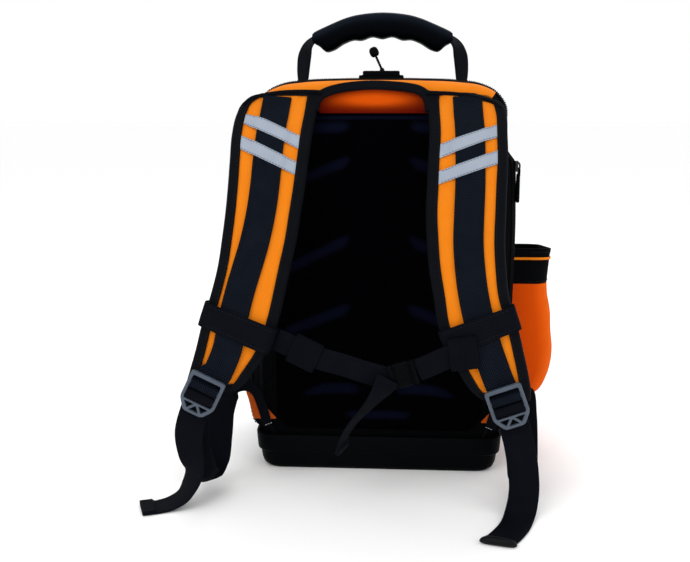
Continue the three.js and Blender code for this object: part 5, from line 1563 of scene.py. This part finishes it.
def grip():
    """Arched moulded grip with finger waves, narrowed slightly at both ends where its webbing goes in."""
    left = [(-x, top, under) for x, top, under in GRIP_HALF[:0:-1]]
    rows = smooth([(x, 0, 0, top, under) for x, top, under in [*left, *GRIP_HALF]], 2.5)
    rings, lay = [], []
    for x, _, _, top, under in rows:
        half = (top - under) / 2
        end = ease((abs(x) - GRIP_END) / 2.0)
        outline = rounded(rectangle(GRIP_DEPTH / 2, half), min(GRIP_ROUND, half * 1.25), 8)
        outline = grow(outline, -1.0 * end)
        rings.append(on_side(outline, x, 0, (top + under) / 2))
        # The lay's first axis is the drop from the top edge, which the grip's painted highlight follows.
        lay += [(half - z, x, y) for y, z in outline]
    piece("handle_grip", *loft(rings), GRIP_RUBBER, "moulded_black", ["grip"], lay=np.array(lay))


def handle_leg(side, sign):
    """Webbing leg of the handle on one side."""
    rows = [(sign * x, y, z, sign * ax, ay, az) for x, y, z, ax, ay, az in HANDLE_LEG]
    ribbon(f"handle_webbing_{side}", rows, NARROW_WEB, WEB_THICK, [f"handle_leg_{side}"], step=1.5)


def top_clip():
    """Low stepped block on the top, with round edges and a shallow hollow."""
    rings = []
    for height, half, deep in CLIP_ROWS:
        ring = rounded(rectangle(half, deep), min(3.0, deep * 0.5), 6)
        rings.append(level(ring + np.array([0, CLIP_Y]), TOP_Z + GAP + height))
    piece("stepped_block", *loft(rings), MOULDED, "moulded_black", ["top_clip"], sharp=30)


def toggle():
    """Cord stem with two twisted strands and a faceted bead."""
    lean = math.radians(TOGGLE_LEAN)
    foot = np.array(TOGGLE_FOOT)
    axis = np.array([math.sin(lean), 0, math.cos(lean)])
    side = np.array([math.cos(lean), 0, -math.sin(lean)])
    depth = np.array([0, 1.0, 0])

    def about(height, radius, turn):
        """Place at a height along the stem and a turn round it."""
        return foot + axis * height + radius * (side * math.cos(turn) + depth * math.sin(turn))

    bead_turns, collar_turns = (np.radians(np.arange(0, 360, step)) for step in (11.25, 22.5))
    bead_rows = smooth([(radius, height, 0) for radius, height in TOGGLE_BEAD], 1)[:, :2]
    rings = [[about(height, radius * (1 + 0.05 * math.cos(8 * turn)), turn) for turn in bead_turns]
             for radius, height in bead_rows]
    collar = [[about(height, radius, turn) for turn in collar_turns] for radius, height in TOGGLE_COLLAR]
    parts = [loft(rings), loft(collar)]
    for phase in (0, math.pi):
        strand = [about(height, 0.7, 1.1 * height + phase) for height in np.linspace(-2, 17, 44)]
        parts.append(tube(np.array(strand), 0.85, 8))
    piece("toggle_bead", *joined(parts), MOULDED, "moulded_black", ["pull_toggle"])


pocket_pouch()
pocket_band()
zip_tape()
zip_teeth()
zip_slider()
zip_pull()
grip()
for side, sign in SIDES:
    handle_leg(side, sign)
top_clip()
toggle()


# Floor, light and camera


def floor():
    """Plain pale floor, wide enough to fill the picture."""
    mesh = bpy.data.meshes.new("floor")
    mesh.from_pydata([(x, y, 0) for x, y in rectangle(FLOOR_HALF, FLOOR_HALF)], [], [(0, 1, 2, 3)])
    material, _, surface = new_material("floor_white")
    surface.inputs["Base Color"].default_value = (0.99, 0.99, 0.99, 1)
    surface.inputs["Roughness"].default_value = 0.9
    mesh.materials.append(material)
    new_object("floor", mesh)


def soft_light(name, place, size, power):
    """Square studio light that faces the bag."""
    light = bpy.data.lights.new(name, "AREA")
    light.size = size
    light.energy = power
    obj = new_object(name, light)
    obj.location = place
    turn = np.array(LIGHT_TARGET) - np.array(place)
    flat = math.hypot(turn[0], turn[1])
    obj.rotation_euler = (math.atan2(flat, -turn[2]), 0, math.atan2(turn[0], -turn[1]) + math.pi)


def studio():
    """White surroundings, a large key light from the upper left, a fill from the right and a top light."""
    world = bpy.data.worlds.new("studio")
    world.use_nodes = True
    background = world.node_tree.nodes["Background"]
    background.inputs["Color"].default_value = (1, 1, 1, 1)
    background.inputs["Strength"].default_value = 1.0
    bpy.context.scene.world = world
    for light in LIGHTS:
        soft_light(*light)
    bpy.context.scene.view_settings.view_transform = "Standard"


def camera():
    """Camera of the photograph, worked out from its perspective."""
    lens = bpy.data.cameras.new("photo_camera")
    lens.sensor_fit = "HORIZONTAL"
    lens.sensor_width = CAMERA["sensor"]
    lens.lens = CAMERA["lens"]
    obj = new_object("photo_camera", lens)
    obj.location = CAMERA["place"]
    obj.rotation_euler = [math.radians(angle) for angle in CAMERA["turn"]]
    bpy.context.scene.camera = obj


floor()
studio()
camera()
